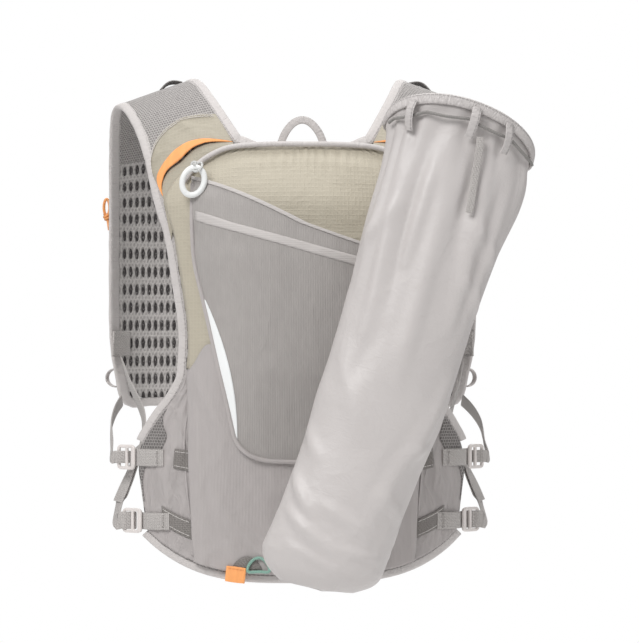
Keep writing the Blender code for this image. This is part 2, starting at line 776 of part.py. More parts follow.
def quiver_point(turn, along, lift=0.0):
    """Point on the quiver: turn 0 at its right, 90 degrees on the side away from the wearer."""
    share = min(max(along / QUIVER_LENGTH, 0.0), 1.0)
    key = "right" if math.cos(turn) > 0 else "left"
    half = QUIVER_HALF_WIDTH * column(QUIVER_ROWS, key, "along", share) + lift
    deep = QUIVER_HALF_DEPTH * column(QUIVER_ROWS, "depth", "along", share) + lift
    up = along + mouth_arch(turn) * smooth_step(0.72, 1.0, share)
    flat = QUIVER_ACROSS * (half * math.cos(turn)) + QUIVER_NEAR * (deep * math.sin(turn))
    return Vector(QUIVER_FOOT) + flat + QUIVER_UP * up


def quiver_shell(name, start, end, rows, power, closed):
    """Coated cloth tube between two heights of the quiver, with its foot closed or open."""
    grid = bmesh.new()
    bmesh.ops.create_grid(grid, x_segments=QUIVER_GRID, y_segments=rows, size=1.0)
    for vert in grid.verts:
        turn = math.pi * (vert.co.x + 1)
        vert.co = quiver_point(turn, mix(start, end, ((vert.co.y + 1) / 2) ** power))
    bmesh.ops.remove_doubles(grid, verts=grid.verts, dist=0.00005)
    if closed:
        rims = [edge for edge in grid.edges if edge.is_boundary]
        foot = [edge for edge in rims if (edge.verts[0].co - Vector(QUIVER_FOOT)).dot(QUIVER_UP) < 0.01]
        bmesh.ops.holes_fill(grid, edges=foot, sides=0)
    bmesh.ops.recalc_face_normals(grid, faces=grid.faces)
    obj = add_mesh(name, grid, "coated_cloth", 80)
    thickness = obj.modifiers.new("Wall", "SOLIDIFY")
    thickness.thickness = QUIVER_WALL
    thickness.offset = -1.0


def quiver_tube():
    """Tube with an open mouth, sewn to a rounded base with a closed foot."""
    quiver_shell("quiver_base", 0.0, QUIVER_BASE_HEIGHT, 3, 1.3, True)
    quiver_shell("quiver_tube", QUIVER_BASE_HEIGHT + SEAM_GAP, QUIVER_LENGTH, 11, 1.15, False)


def quiver_rim():
    """Stiff hoop in a folded band round the quiver's mouth."""
    band = bmesh.new()
    bmesh.ops.create_grid(band, x_segments=QUIVER_GRID, y_segments=1, size=1.0)
    for vert in band.verts:
        turn = math.pi * (vert.co.x + 1)
        up = QUIVER_LENGTH + 2 * SEAM_GAP + (vert.co.y + 1) / 2 * RIM_WIDTH
        vert.co = quiver_point(turn, up, (RIM_WALL - QUIVER_WALL) / 2)
    bmesh.ops.remove_doubles(band, verts=band.verts, dist=0.00005)
    bmesh.ops.recalc_face_normals(band, faces=band.faces)
    obj = add_mesh("quiver_rim", band, "coated_cloth", 60)
    thickness = obj.modifiers.new("Wall", "SOLIDIFY")
    thickness.thickness = RIM_WALL
    thickness.offset = -1.0


def quiver_trim():
    """Drawcord below the rim, the loops that hold it and the hanging webbing end."""
    radius = DRAWCORD_RADIUS
    cord = []
    for i in range(15):
        turn = math.radians(mix(20, 160, i / 14))
        dip = 0.002 * math.sin(math.pi * i / 14)
        cord.append(quiver_point(turn, QUIVER_LENGTH - DRAWCORD_DROP - dip, radius + LAYER_GAP))
    tube("quiver_drawcord", cord, radius, "grey_cord")

    over_cord = 2 * radius + 2 * LAYER_GAP + SEAM_GAP + WEBBING / 2
    for word, degrees in LOOP_TURNS:
        turn = math.radians(degrees)
        route = []
        for up, lift in LOOP_STEPS:
            route.append(quiver_point(turn, QUIVER_LENGTH + up, over_cord * lift))
        facing = quiver_point(turn, QUIVER_LENGTH, 0.01) - quiver_point(turn, QUIVER_LENGTH)
        ribbon(f"quiver_loop_{word}", route, lambda point: facing, LOOP_WIDTH, WEBBING, "coated_cloth")

    turn = math.radians(LOOP_TURNS[1][1])
    start = QUIVER_LENGTH - TAIL_DROP
    tail = [quiver_point(turn + 0.04 * i, start - TAIL_LENGTH * i / 6, WEBBING) for i in range(7)]
    facing = quiver_point(turn, start, 0.01) - quiver_point(turn, start)
    ribbon("quiver_tail", tail, lambda point: facing, TAIL_WIDTH, WEBBING, "coated_cloth")


def quiver_hangers():
    """Straps behind the quiver that carry it from the right shoulder and from the hem."""
    far = math.radians(270)
    lift = PAD + CLOTH + 2 * LAYER_GAP + WEBBING / 2
    x, way = HANGER_PLACE
    start = on_form(x, way, lift)
    end = quiver_point(far, QUIVER_LENGTH * HANGER_REACH, WEBBING / 2 + 2 * LAYER_GAP)
    bridge = on_form(x, way - 0.010, lift).lerp(end + QUIVER_UP * 0.020, 0.5)
    route = [start, on_form(x, way - 0.008, lift + 0.001), bridge + Vector((0, 0, 0.004))]
    route += [end + QUIVER_UP * 0.014 - QUIVER_NEAR * 0.0030, end, end - QUIVER_UP * 0.012]

    def facing(point):
        share = (point.y - start.y) / (end.y - start.y)
        if share <= 0.1:
            return Vector((0, -1, 0.5))
        return Vector((0, -0.4, 1.0)).lerp(QUIVER_NEAR, smooth_step(0.6, 1.0, share))

    ribbon("quiver_hanger_upper", smooth_route(route, 0.010), facing, HANGER_WIDTH, WEBBING, "webbing")

    lift = PAD + BAG_GAP + 2 * CLOTH + 2 * LAYER_GAP + HANGER_RADIUS
    start = on_form(-0.006, -way_down(0.374), lift + 0.0004)
    end = quiver_point(far, 0.030, 2 * LAYER_GAP)
    route = [start, start.lerp(end, 0.5) - Vector((0, 0, 0.006)), end]
    tube("quiver_hanger_lower", smooth_route(route, 0.008), HANGER_RADIUS, "grey_cord")


def girth_place(x):
    """Angle round the waist at which the wearer's side lies this far out, toward the back."""
    turn = math.acos(min(abs(x) / BODY_HALF_WIDTH, 1.0) ** (BODY_SQUARENESS / 2))
    return -turn if x > 0 else math.pi + turn


def lock_frame(x, height):
    """Centre and axes of a ladder lock: inward along the girth, up, and outward."""
    angle = girth_place(x)
    centre = on_girth(angle, height, PAD + LOCK_LIFT)
    outward = (on_girth(angle, height, 0.01) - on_girth(angle, height)).normalized()
    up = Vector((0, 0, 1))
    inward = outward.cross(up) if x > 0 else up.cross(outward)
    return centre, inward, up, outward


def ladder_lock(name, x, height):
    """Flat plastic frame with three bars and two slots for webbing."""
    centre, inward, up, outward = lock_frame(x, height)
    half = LOCK_LENGTH / 2
    tall = LOCK_HEIGHT / 2
    cuts = (-half, -half + LOCK_RAIL, -LOCK_RAIL / 2, LOCK_RAIL / 2, half - LOCK_RAIL, half)
    rails = (-tall, -tall + LOCK_RAIL, tall - LOCK_RAIL, tall)
    grid = bmesh.new()
    bmesh.ops.create_grid(grid, x_segments=5, y_segments=3, size=1.0)
    slots = [
        face
        for face in grid.faces
        if abs(face.calc_center_median().y) < 0.3 and 0.3 < abs(face.calc_center_median().x) < 0.5
    ]
    bmesh.ops.delete(grid, geom=slots, context="FACES")
    for vert in grid.verts:
        a = cuts[round((vert.co.x + 1) / 2 * 5)]
        b = rails[round((vert.co.y + 1) / 2 * 3)]
        vert.co = centre + inward * a + up * b
    bmesh.ops.recalc_face_normals(grid, faces=grid.faces)
    obj = add_mesh(name, grid, "pale_plastic", 30)
    thickness = obj.modifiers.new("Wall", "SOLIDIFY")
    thickness.thickness = LOCK_WALL
    thickness.offset = 0.0


def lock_route(x, height, steps):
    """Points given in a ladder lock's own axes: inward, up and outward lengths."""
    centre, inward, up, outward = lock_frame(x, height)
    return [centre + inward * a + up * b + outward * c for a, b, c in steps]


def outward_from_waist(point):
    return Vector((point.x, 1.5 * point.y, 0)).normalized()


def wing_tab(name, x, height):
    """Webbing from the wing over the inner bar of a ladder lock and back under it."""
    half = LOCK_LENGTH / 2
    over = LOCK_WALL / 2 + SEAM_GAP + WEBBING / 2
    bar = half - LOCK_RAIL
    steps = [(half + 0.004, 0, over), (bar - 0.0002, 0, over), (bar - 0.0018, 0, 0.0010)]
    steps += [(bar - 0.0018, 0, -0.0010), (bar - 0.0002, 0, -over), (half + 0.0004, 0, -over)]
    side = -1 if x < 0 else 1
    lift = PAD + CLOTH + 2 * LAYER_GAP + WEBBING / 2
    way = -way_down(-height)
    route = [on_form(side * (abs(x) - reach), way, lift) for reach in (0.0290, 0.0230, 0.0170)]
    route += lock_route(x, height, steps)
    width = LOCK_HEIGHT - 2 * LOCK_RAIL - 3 * SEAM_GAP
    ribbon(name, route, None, width, WEBBING, "webbing", sideways=Vector((0, 0, 1)))


def strap_into_lock(name, x, height, route, width):
    """Side strap that runs over a ladder lock's outer bar and under its middle bar."""
    half = LOCK_LENGTH / 2
    over = LOCK_WALL / 2 + SEAM_GAP + WEBBING / 2
    start, end = -half + LOCK_RAIL, -LOCK_RAIL / 2
    steps = [(-half - 0.0060, 0, 0.7 * over), (-half - 0.0010, 0, over), (start + 0.0002, 0, over)]
    steps += [(start + 0.0020, 0, 0.0006), (end - 0.0020, 0, -0.0006)]
    steps += [(end - 0.0002, 0, -over), (0.0012, 0, -over)]
    points = smooth_route(route, 0.014)
    points += lock_route(x, height, steps)
    ribbon(name, points, outward_from_waist, width, WEBBING, "webbing")


def locks_and_straps():
    """Two ladder locks at each side, the wing's webbing tabs and the straps to the front."""
    for word, side in SIDES:
        for level, (x_share, drop_share) in LOCK_PLACES.items():
            x = side * x_share * BODY_HALF_WIDTH
            height = -VEST_DROP * drop_share
            ladder_lock(f"ladder_lock_{level}_{word}", x, height)
            wing_tab(f"wing_tab_{level}_{word}", x, height)
            route = [
                (side * a * BODY_HALF_WIDTH, b * BODY_HALF_DEPTH, -c * VEST_DROP)
                for a, b, c in STRAP_ROUTES[level]
            ]
            strap_into_lock(f"side_strap_{level}_{word}", x, height, route, STRAP_WIDTHS[level])


def strap_tabs():
    """Cloth tabs inside the front panels' arm edges, where the wide side straps begin."""
    lift = (PAD - BINDING_WALL) / 2 - BAG_GAP / 2 - WEBBING
    for word, side in SIDES:

        def surface(u, v):
            return on_form(side * mix(*STRAP_TAB_SPAN, u), way_down(mix(*STRAP_TAB_WAYS, v)), lift)

        sheet(f"strap_tab_{word}", surface, WEBBING, "webbing", 3, 3, flip=side < 0)


def sternum_straps():
    """Two webbing straps across the chest, each with a plain clasp."""
    for word, drop_share, gaps in STERNUM_ROWS:
        top = (PAD + BINDING_WALL) / 2 + gaps * SEAM_GAP
        way = way_down(FRONT_DROP * drop_share)
        reach = front_edges(drop_share)[0] - 0.002
        route = [on_form(reach * (i / 5 - 1), way, top + WEBBING / 2) for i in range(11)]
        name = f"sternum_strap_{word}"
        ribbon(name, route, lambda point: Vector((0, 1, 0)), STERNUM_WEBBING, WEBBING, "webbing")
        centre = on_form(0.0, way, top + WEBBING + SEAM_GAP + CLASP_DEPTH / 2)
        block = bmesh.new()
        bmesh.ops.create_cube(block, size=1.0)
        bmesh.ops.scale(block, vec=(CLASP_LENGTH, CLASP_DEPTH, CLASP_HEIGHT), verts=block.verts)
        edges = block.edges[:]
        bmesh.ops.bevel(block, geom=edges, offset=CLASP_EDGE, segments=1, affect="EDGES", profile=0.5)
        bmesh.ops.translate(block, vec=centre, verts=block.verts)
        add_mesh(f"sternum_clasp_{word}", block, "grey_plastic", 30)


def hem_trim():
    """Bright pull tab and looped cord at the left of the hem."""
    lift = PAD + BAG_GAP + 2 * CLOTH + 2 * LAYER_GAP + SEAM_GAP

    def surface(u, v):
        return on_form(mix(*HEM_TAB_SPAN, u), -way_down(mix(*HEM_TAB_DROPS, v)), lift)

    sheet("hem_tab", surface, HEM_TAB_WALL, "orange_cloth", 3, 2)
    x, drop = HEM_CORD_PLACE
    points = []
    for i in range(14):
        turn = 2 * math.pi * i / 14
        out = x + HEM_CORD_HALF_WIDTH * math.cos(turn)
        down = drop - HEM_CORD_HALF_HEIGHT * math.sin(turn) + 0.002 * math.cos(2 * turn)
        points.append(on_form(out, -way_down(down), lift + HEM_CORD_RADIUS))
    tube("hem_cord", points, HEM_CORD_RADIUS, "teal_cord", cyclic=True)


def edge_root(x, drop, gap):
    """Point on the binding at a front panel's outer edge, and the way out from it."""
    place = (x, way_down(drop))
    root = on_form(*place, (PAD + BINDING_WALL) / 2 + gap)
    return root, (on_form(*place, 0.01) - on_form(*place)).normalized()


def cord_loop():
    """Bright cord loop at the outer edge of the left front panel."""
    root, out = edge_root(*SIDE_CORD_PLACE, SIDE_CORD_RADIUS)
    points = []
    for i in range(14):
        turn = 2 * math.pi * i / 14
        depth = SIDE_CORD_DEPTH * (1 - math.cos(turn))
        rise = SIDE_CORD_HALF_HEIGHT * math.sin(turn)
        points.append(root + out * depth + Vector((0, 0, rise)))
    tube("cord_loop_left", points, SIDE_CORD_RADIUS, "orange_cloth", cyclic=True)


def edge_loops():
    """Webbing loops that stand off the lower outer edges of the front panels."""
    for word, side in SIDES:
        x, drop = EDGE_LOOP_PLACE
        root, out = edge_root(side * x, drop, SEAM_GAP)
        arch = []
        for i in range(11):
            turn = math.pi * i / 10
            rise = EDGE_LOOP_HALF_HEIGHT * math.cos(turn)
            arch.append(root + out * EDGE_LOOP_DEPTH * math.sin(turn) + Vector((0, 0, rise)))

        def facing(point):
            return point - root + out * 0.002

        ribbon(f"edge_loop_{word}", arch, facing, EDGE_LOOP_WIDTH, EDGE_LOOP_WALL, "binding_tape")


def hose_loops():
    """Elastic keepers that arch over the straps just in front of the crest."""
    foot = PAD + SEAM_GAP + WEBBING / 2
    for word, side in SIDES:
        route = []
        for i in range(9):
            rise = HOSE_LOOP_RISE * math.sin(math.pi * i / 8)
            route.append(on_form(side * mix(*HOSE_LOOP_SPAN, i / 8), HOSE_LOOP_WAY, foot + rise))

        def facing(point):
            return Vector((0, 0.15, 1))

        ribbon(f"hose_loop_{word}", route, facing, HOSE_LOOP_WIDTH, WEBBING, "dark_webbing")


clear_scene()
back_panel()
main_bag()
lower_panel()
stash_pocket()
wings()
shoulder_straps()
shoulder_patches()
front_panels()
front_pockets()
neck_bindings()
arm_bindings()
hem_binding()
orange_hems()
bag_piping()
haul_loop()
zip_ring()
ring_cord()
quiver_tube()
quiver_rim()
quiver_trim()
quiver_hangers()
locks_and_straps()
strap_tabs()
sternum_straps()
hem_trim()
cord_loop()
edge_loops()
hose_loops()
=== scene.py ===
# %% [markdown]
# # A running vest with a quiver
#
# The vest is sewn from thin cloth, spacer mesh, folded tape and webbing. It hangs in the shape it
# takes when it is worn, and a cloth tube is slung across its back.
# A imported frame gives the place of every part, so each cell below makes one part in that place:
# first the form that the cloth lies on, then the finishes, then the parts from the inside out.

# %% Load the frame
import math

import bmesh
import bpy
import numpy as np
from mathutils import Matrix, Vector, noise


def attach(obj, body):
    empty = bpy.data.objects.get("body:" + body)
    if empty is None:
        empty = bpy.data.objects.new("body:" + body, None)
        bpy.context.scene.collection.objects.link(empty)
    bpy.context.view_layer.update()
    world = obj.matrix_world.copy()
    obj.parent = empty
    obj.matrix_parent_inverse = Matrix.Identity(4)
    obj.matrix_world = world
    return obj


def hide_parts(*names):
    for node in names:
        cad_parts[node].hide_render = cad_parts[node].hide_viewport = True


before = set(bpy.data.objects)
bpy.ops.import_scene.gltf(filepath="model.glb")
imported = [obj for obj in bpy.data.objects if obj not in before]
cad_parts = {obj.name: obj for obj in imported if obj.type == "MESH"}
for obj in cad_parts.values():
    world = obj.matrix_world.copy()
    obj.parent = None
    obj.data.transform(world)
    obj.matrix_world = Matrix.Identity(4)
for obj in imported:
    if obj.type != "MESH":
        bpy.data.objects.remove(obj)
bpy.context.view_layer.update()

# %% [markdown]
# ## Camera, floor and light
#
# A catalogue picture is taken from far away with a long lens, which keeps the sides of a thing
# parallel. The camera stands three metres off, turned a few degrees to the left of the back's
# middle. Big soft lamps above and beside it copy a white studio, and a small pale floor lies well
# below, out of the picture.

# %% Camera
PIXEL = 0.0008
PICTURE_HEIGHT = 643
CAMERA_TURN = math.radians(4)
CAMERA_REACH = 3.0
SENSOR_WIDTH = 36
CAMERA_TARGET = Vector((0.0125, -0.095, -0.188))

look = Vector((math.sin(CAMERA_TURN), math.cos(CAMERA_TURN), 0))
lens = bpy.data.cameras.new("studio_camera")
lens.sensor_width = SENSOR_WIDTH
lens.lens = SENSOR_WIDTH * CAMERA_REACH / (PICTURE_HEIGHT * PIXEL)
camera = bpy.data.objects.new("studio_camera", lens)
bpy.context.scene.collection.objects.link(camera)
camera.location = CAMERA_TARGET - look * CAMERA_REACH
camera.rotation_mode = "QUATERNION"
camera.rotation_quaternion = look.to_track_quat("-Z", "Y")
bpy.context.scene.camera = camera
print("lens", round(lens.lens), "mm")

# %% Lamps and sky
def soft_lamp(name, place, target, size, power):
    """Square lamp that faces the target."""
    lamp = bpy.data.lights.new(name, "AREA")
    lamp.size = size
    lamp.energy = power
    holder = bpy.data.objects.new(name, lamp)
    bpy.context.scene.collection.objects.link(holder)
    holder.location = place
    aim = Vector(target) - Vector(place)
    holder.rotation_mode = "QUATERNION"
    holder.rotation_quaternion = aim.to_track_quat("-Z", "Y")


MIDDLE = (0.0, -0.05, -0.19)
soft_lamp("key_lamp", (-1.1, -1.9, 1.5), MIDDLE, 1.2, 50)
soft_lamp("side_lamp", (2.0, -1.2, 0.5), MIDDLE, 1.2, 9)
soft_lamp("top_lamp", (0.1, -0.1, 1.9), MIDDLE, 1.2, 22)
soft_lamp("front_lamp", (0.5, 2.0, 0.9), MIDDLE, 1.4, 20)

sky = bpy.data.worlds.new("studio_sky")
sky.use_nodes = True
bpy.context.scene.world = sky
ambient = sky.node_tree.nodes["Background"]
ambient.inputs["Color"].default_value = (1.0, 1.0, 1.0, 1.0)
ambient.inputs["Strength"].default_value = 0.42
seen = sky.node_tree.nodes.new("ShaderNodeBackground")
seen.inputs["Color"].default_value = (1.0, 1.0, 1.0, 1.0)
seen.inputs["Strength"].default_value = 1.0
which = sky.node_tree.nodes.new("ShaderNodeMixShader")
rays = sky.node_tree.nodes.new("ShaderNodeLightPath")
sky.node_tree.links.new(rays.outputs["Is Camera Ray"], which.inputs[0])
sky.node_tree.links.new(ambient.outputs[0], which.inputs[1])
sky.node_tree.links.new(seen.outputs[0], which.inputs[2])
sky.node_tree.links.new(which.outputs[0], sky.node_tree.nodes["World Output"].inputs[0])
bpy.context.scene.view_settings.view_transform = "Standard"

# %% Floor
FLOOR_RADIUS, FLOOR_HEIGHT = 1.3, -0.62
floor_mesh = bmesh.new()
bmesh.ops.create_circle(floor_mesh, cap_ends=True, radius=FLOOR_RADIUS, segments=96)
bmesh.ops.translate(floor_mesh, vec=(0, 0, FLOOR_HEIGHT), verts=floor_mesh.verts)
floor_data = bpy.data.meshes.new("studio_floor")
floor_mesh.to_mesh(floor_data)
floor_mesh.free()
floor = bpy.data.objects.new("studio_floor", floor_data)
bpy.context.scene.collection.objects.link(floor)
paint = bpy.data.materials.new("floor_paint")
paint.use_nodes = True
paint.node_tree.nodes["Principled BSDF"].inputs["Base Color"].default_value = (0.86, 0.86, 0.86, 1)
paint.node_tree.nodes["Principled BSDF"].inputs["Roughness"].default_value = 0.9
floor_data.materials.append(paint)
print("floor at", round(floor_data.vertices[0].co.z, 2), "m")

# %% [markdown]
# ## The form that the cloth lies on
#
# Every panel lies on the same body: a rounded box that arches over the shoulders. If each panel
# were shaped by eye, their edges wouldn't meet. So one function gives the point on the form for a
# distance from the middle and a distance over the cloth from the shoulders' crest, lifted along
# the outward normal. A panel is then only a pair of edges and a lift.

# %% Sizes of the form
BODY_HALF_WIDTH = 0.158
BODY_HALF_DEPTH = 0.100
BODY_SQUARENESS = 2.6
SHOULDER_SEAT = 0.712 * BODY_HALF_WIDTH
SHOULDER_SLOPE = 0.37
SHOULDER_RISE = 0.110
NECK_HALF_WIDTH = 0.060

PAD = 0.0030
CLOTH = 0.0014
WEBBING = 0.0015
LAYER_GAP = 0.0006
BAG_GAP = 0.0018
SEAM_GAP = 0.0004
BINDING_WIDTH = 0.0078
BINDING_WALL = 0.0042

VEST_DROP = 0.355
WING_HALF_WIDTH = 0.8165 * BODY_HALF_WIDTH
HEM_SAG = 0.0346
HEM_ROUNDNESS = 3.6
BAG_HALF_WIDTH = 0.693 * BODY_HALF_WIDTH
BAG_DEPTH = 0.021
STASH_HALF_WIDTH = 0.7854 * BAG_HALF_WIDTH
STASH_EASE = 0.006
FRONT_DROP = 0.71 * VEST_DROP
FRONT_ARM_EDGE = 0.9146 * BODY_HALF_WIDTH
POCKET_DEPTH = 0.019

SIDES = (("left", -1), ("right", 1))

BACK_ROWS = {
    "drop": (0.152, 0.256, 0.335, 0.425, 0.527, 0.594, 0.662, 0.690, 0.728, 0.764,
             0.805, 0.856, 0.955, 1.0),
    "half": (0.918, 0.866, 0.798, 0.762, 0.719, 0.713, 0.731, 0.767, 0.845, 0.915,
             0.975, 1.0, 0.965, 0.946),
}
BAG_ROWS = {
    "drop": (0.163, 0.180, 0.214, 0.256, 0.335, 0.425, 0.527, 0.662, 0.845, 0.985, 1.035),
    "half": (0.530, 0.740, 0.913, 1.000, 0.920, 0.875, 0.825, 0.822, 0.815, 0.785, 0.700),
}
BAG_FILL = {
    "drop": (0.163, 0.200, 0.270, 0.380, 0.640, 0.800, 0.950, 1.035),
    "fill": (0.0, 0.30, 0.70, 0.95, 1.0, 0.70, 0.30, 0.0),
}
STRAP_ROWS = {
    "way": (0.0, 0.12, 0.26, 0.40, 0.52, 0.66, 0.82, 1.0),
    "neck": (0.350, 0.432, 0.500, 0.548, 0.580, 0.570, 0.530, 0.480),
    "arm": (0.752, 0.782, 0.826, 0.868, 0.900, 0.912, 0.915, 0.915),
}
FRONT_ROWS = {
    "drop": (0.200, 0.320, 0.450, 0.600, 0.750, 0.880, 1.0),
    "centre": (0.525, 0.400, 0.300, 0.255, 0.250, 0.290, 0.400),
    "arm": (1.000, 1.000, 1.000, 1.000, 1.000, 0.985, 0.930),
}

# %% The form
ROW_STEPS, ROW_BLUR = 400, 25


def smooth_rows(table):
    """Function that reads a table's columns with a smooth curve through its rows."""
    keys = list(table)
    place = np.array(table[keys[0]])
    fine = np.linspace(place[0], place[-1], ROW_STEPS)
    found = {}
    for key in keys[1:]:
        rough = np.interp(fine, place, table[key])
        kernel = np.hanning(ROW_BLUR)
        padded_row = np.pad(rough, ROW_BLUR // 2, mode="reflect", reflect_type="odd")
        found[key] = np.convolve(padded_row, kernel / kernel.sum(), mode="valid")

    def read(key, value):
        step = (value - fine[0]) / (fine[-1] - fine[0]) * (ROW_STEPS - 1)
        step = min(max(step, 0.0), ROW_STEPS - 1.001)
        low = int(step)
        row = found[key]
        return float(row[low] + (row[low + 1] - row[low]) * (step - low))

    return read


back_row = smooth_rows(BACK_ROWS)
bag_row = smooth_rows(BAG_ROWS)
fill_row = smooth_rows(BAG_FILL)
strap_row = smooth_rows(STRAP_ROWS)
front_row = smooth_rows(FRONT_ROWS)


def smooth_step(low, high, value):
    share = min(max((value - low) / (high - low), 0.0), 1.0)
    return share * share * (3 - 2 * share)


def mix(first, second, share):
    return first + (second - first) * share


def crest_height(x):
    out = (x**4 + NECK_HALF_WIDTH**4) ** 0.25
    return SHOULDER_SLOPE * (SHOULDER_SEAT - out)


def half_depth(x):
    share = min(abs(x) / BODY_HALF_WIDTH, 0.995)
    return BODY_HALF_DEPTH * (1 - share**BODY_SQUARENESS) ** (1 / BODY_SQUARENESS)


turns = np.linspace(math.pi / 2, 0, 240)
arc_y = half_depth(SHOULDER_SEAT) * np.cos(turns)
arc_z = SHOULDER_RISE * np.sin(turns)
arc_way = np.concatenate(([0.0], np.cumsum(np.hypot(np.diff(arc_y), np.diff(arc_z)))))
ARC = float(arc_way[-1])
TURN_AT = np.interp(np.linspace(0, ARC, 1001), arc_way, turns).tolist()


def turn_at(way):
    """Turn of the shoulder's round at this distance from the crest."""
    step = min(way / ARC * 1000, 999.999)
    low = int(step)
    return TURN_AT[low] + (TURN_AT[low + 1] - TURN_AT[low]) * (step - low)


def way_down(drop):
    """Distance over the cloth from the crest to the level that lies this far below it."""
    if drop >= SHOULDER_RISE:
        return ARC + drop - SHOULDER_RISE
    turn = math.asin(1 - drop / SHOULDER_RISE)
    return float(np.interp(-turn, -turns, arc_way))


def form_point(x, way):
    side = -1 if way < 0 else 1
    turn = turn_at(abs(way))
    below = max(abs(way) - ARC, 0.0)
    y = side * half_depth(x) * math.cos(turn)
    z = -SHOULDER_RISE + (crest_height(x) + SHOULDER_RISE) * math.sin(turn) - below
    return Vector((x, y, z))


def on_form(x, way, lift=0.0):
    """Point lifted off the form along its outward normal: way is below zero down the back."""
    step = 0.0008
    across = form_point(x + step, way) - form_point(x - step, way)
    along = form_point(x, way + step) - form_point(x, way - step)
    return form_point(x, way) + across.cross(along).normalized() * lift


def on_back(x, drop, lift):
    """Point lifted off the back at a level, which is a share of the vest's drop."""
    return on_form(x, -way_down(VEST_DROP * drop), lift)


def hem_sag(x):
    share = min(abs(x) / (WING_HALF_WIDTH * BACK_ROWS["half"][-1]), 1.0)
    return HEM_SAG * (1 - share**HEM_ROUNDNESS)


def back_way(x, drop):
    """Way down the back for a row, which sags more the nearer it lies to the hem."""
    return -way_down(VEST_DROP * drop + hem_sag(x) * smooth_step(0.70, 1.0, drop))


def back_half(drop):
    return WING_HALF_WIDTH * back_row("half", drop)


def bag_half(drop):
    return BAG_HALF_WIDTH * bag_row("half", drop)


def bag_lift(x, drop):
    share = min(abs(x) / bag_half(drop), 1.0)
    return PAD + BAG_GAP + BAG_DEPTH * fill_row("fill", drop) * (1 - share**3)


print("crest to hem over the cloth:", round(-back_way(0, 1.0) * 1000), "mm")

# %% [markdown]
# ## Tools for the finishes
#
# A cloth's pattern has a real size: a rib is about a millimetre wide wherever it lies. A picture
# could be wrapped on each panel, but it would stretch and it has one resolution. Instead each
# panel carries a UV map called "flat" that is measured in metres over the cloth, and node groups
# turn those metres into threads, ribs and holes. Each group gives only a height or a mask, and
# the shader itself stays in the material.

# %% Node tools
def feed(tree, socket, value):
    """Gives a socket a plain value or another node's output."""
    if isinstance(value, bpy.types.NodeSocket):
        tree.links.new(value, socket)
    else:
        socket.default_value = value


def calc(tree, operation, *values, clamp=False):
    node = tree.nodes.new("ShaderNodeMath")
    node.operation = operation
    node.use_clamp = clamp
    for socket, value in zip(node.inputs, values):
        feed(tree, socket, value)
    return node.outputs[0]


def calc_of(operation):
    """Short name for one kind of sum."""
    return lambda tree, *values, **options: calc(tree, operation, *values, **options)


times, times_plus, plus, minus, divide, absolute = map(
    calc_of, ("MULTIPLY", "MULTIPLY_ADD", "ADD", "SUBTRACT", "DIVIDE", "ABSOLUTE"))


def ramp(tree, value, low, high):
    """0 below low and 1 above high, with a smooth step between."""
    node = tree.nodes.new("ShaderNodeMapRange")
    node.interpolation_type = "SMOOTHSTEP"
    for name, given in (("Value", value), ("From Min", low), ("From Max", high)):
        feed(tree, node.inputs[name], given)
    return node.outputs[0]


def flat_place(tree):
    """Metres across and along the cloth."""
    uv = tree.nodes.new("ShaderNodeUVMap")
    uv.uv_map = "flat"
    split = tree.nodes.new("ShaderNodeSeparateXYZ")
    tree.links.new(uv.outputs[0], split.inputs[0])
    return split.outputs[0], split.outputs[1]


def new_group(name, inputs, outputs):
    """Node group with number sockets: its tree, its inside inputs and its end."""
    tree = bpy.data.node_groups.new(name, "ShaderNodeTree")
    for socket, start in inputs.items():
        made = tree.interface.new_socket(socket, in_out="INPUT", socket_type="NodeSocketFloat")
        made.default_value = start
    for socket in outputs:
        tree.interface.new_socket(socket, in_out="OUTPUT", socket_type="NodeSocketFloat")
    return tree, tree.nodes.new("NodeGroupInput").outputs, tree.nodes.new("NodeGroupOutput").inputs


def use_group(tree, name, **values):
    """Places a group with its own values, given with _ for a space."""
    node = tree.nodes.new("ShaderNodeGroup")
    node.node_tree = bpy.data.node_groups[name]
    for key, value in values.items():
        feed(tree, node.inputs[key.replace("_", " ")], value)
    return node.outputs


# %% Threads and ribs
tree, given, result = new_group("thread_weave", {"Across": 0.0006, "Along": 0.0006}, ("Height",))
a, b = flat_place(tree)
warp = divide(tree, a, given["Across"])
weft = divide(tree, b, given["Along"])
warp_round = absolute(tree, calc(tree, "SINE", times(tree, warp, math.pi)))
weft_round = absolute(tree, calc(tree, "SINE", times(tree, weft, math.pi)))
count = plus(tree, calc(tree, "FLOOR", warp), calc(tree, "FLOOR", weft))
over = calc(tree, "PINGPONG", count, 1.0)
gap = minus(tree, warp_round, weft_round)
feed(tree, result["Height"], times_plus(tree, gap, over, weft_round))

tree, given, result = new_group("rib_knit", {"Pitch": 0.0013, "Course": 0.0008}, ("Height",))
a, b = flat_place(tree)
rib = calc(tree, "SINE", times(tree, divide(tree, a, given["Pitch"]), math.pi))
rib = calc(tree, "POWER", absolute(tree, rib), 0.6)
course = calc(tree, "SINE", times(tree, divide(tree, b, given["Course"]), math.pi))
course = times(tree, absolute(tree, course), 0.25)
feed(tree, result["Height"], times_plus(tree, rib, 0.75, course))

tree, given, result = new_group("ripstop_grid", {"Cell": 0.005, "Thread": 0.0005}, ("Line",))
lines = []
for value in flat_place(tree):
    part = calc(tree, "FRACT", divide(tree, value, given["Cell"]))
    near = times(tree, absolute(tree, minus(tree, part, 0.5)), given["Cell"])
    edge = times(tree, given["Thread"], 0.5)
    lines.append(minus(tree, 1.0, ramp(tree, near, edge, given["Thread"])))
feed(tree, result["Line"], calc(tree, "MAXIMUM", *lines))
print("groups:", sorted(group.name for group in bpy.data.node_groups))

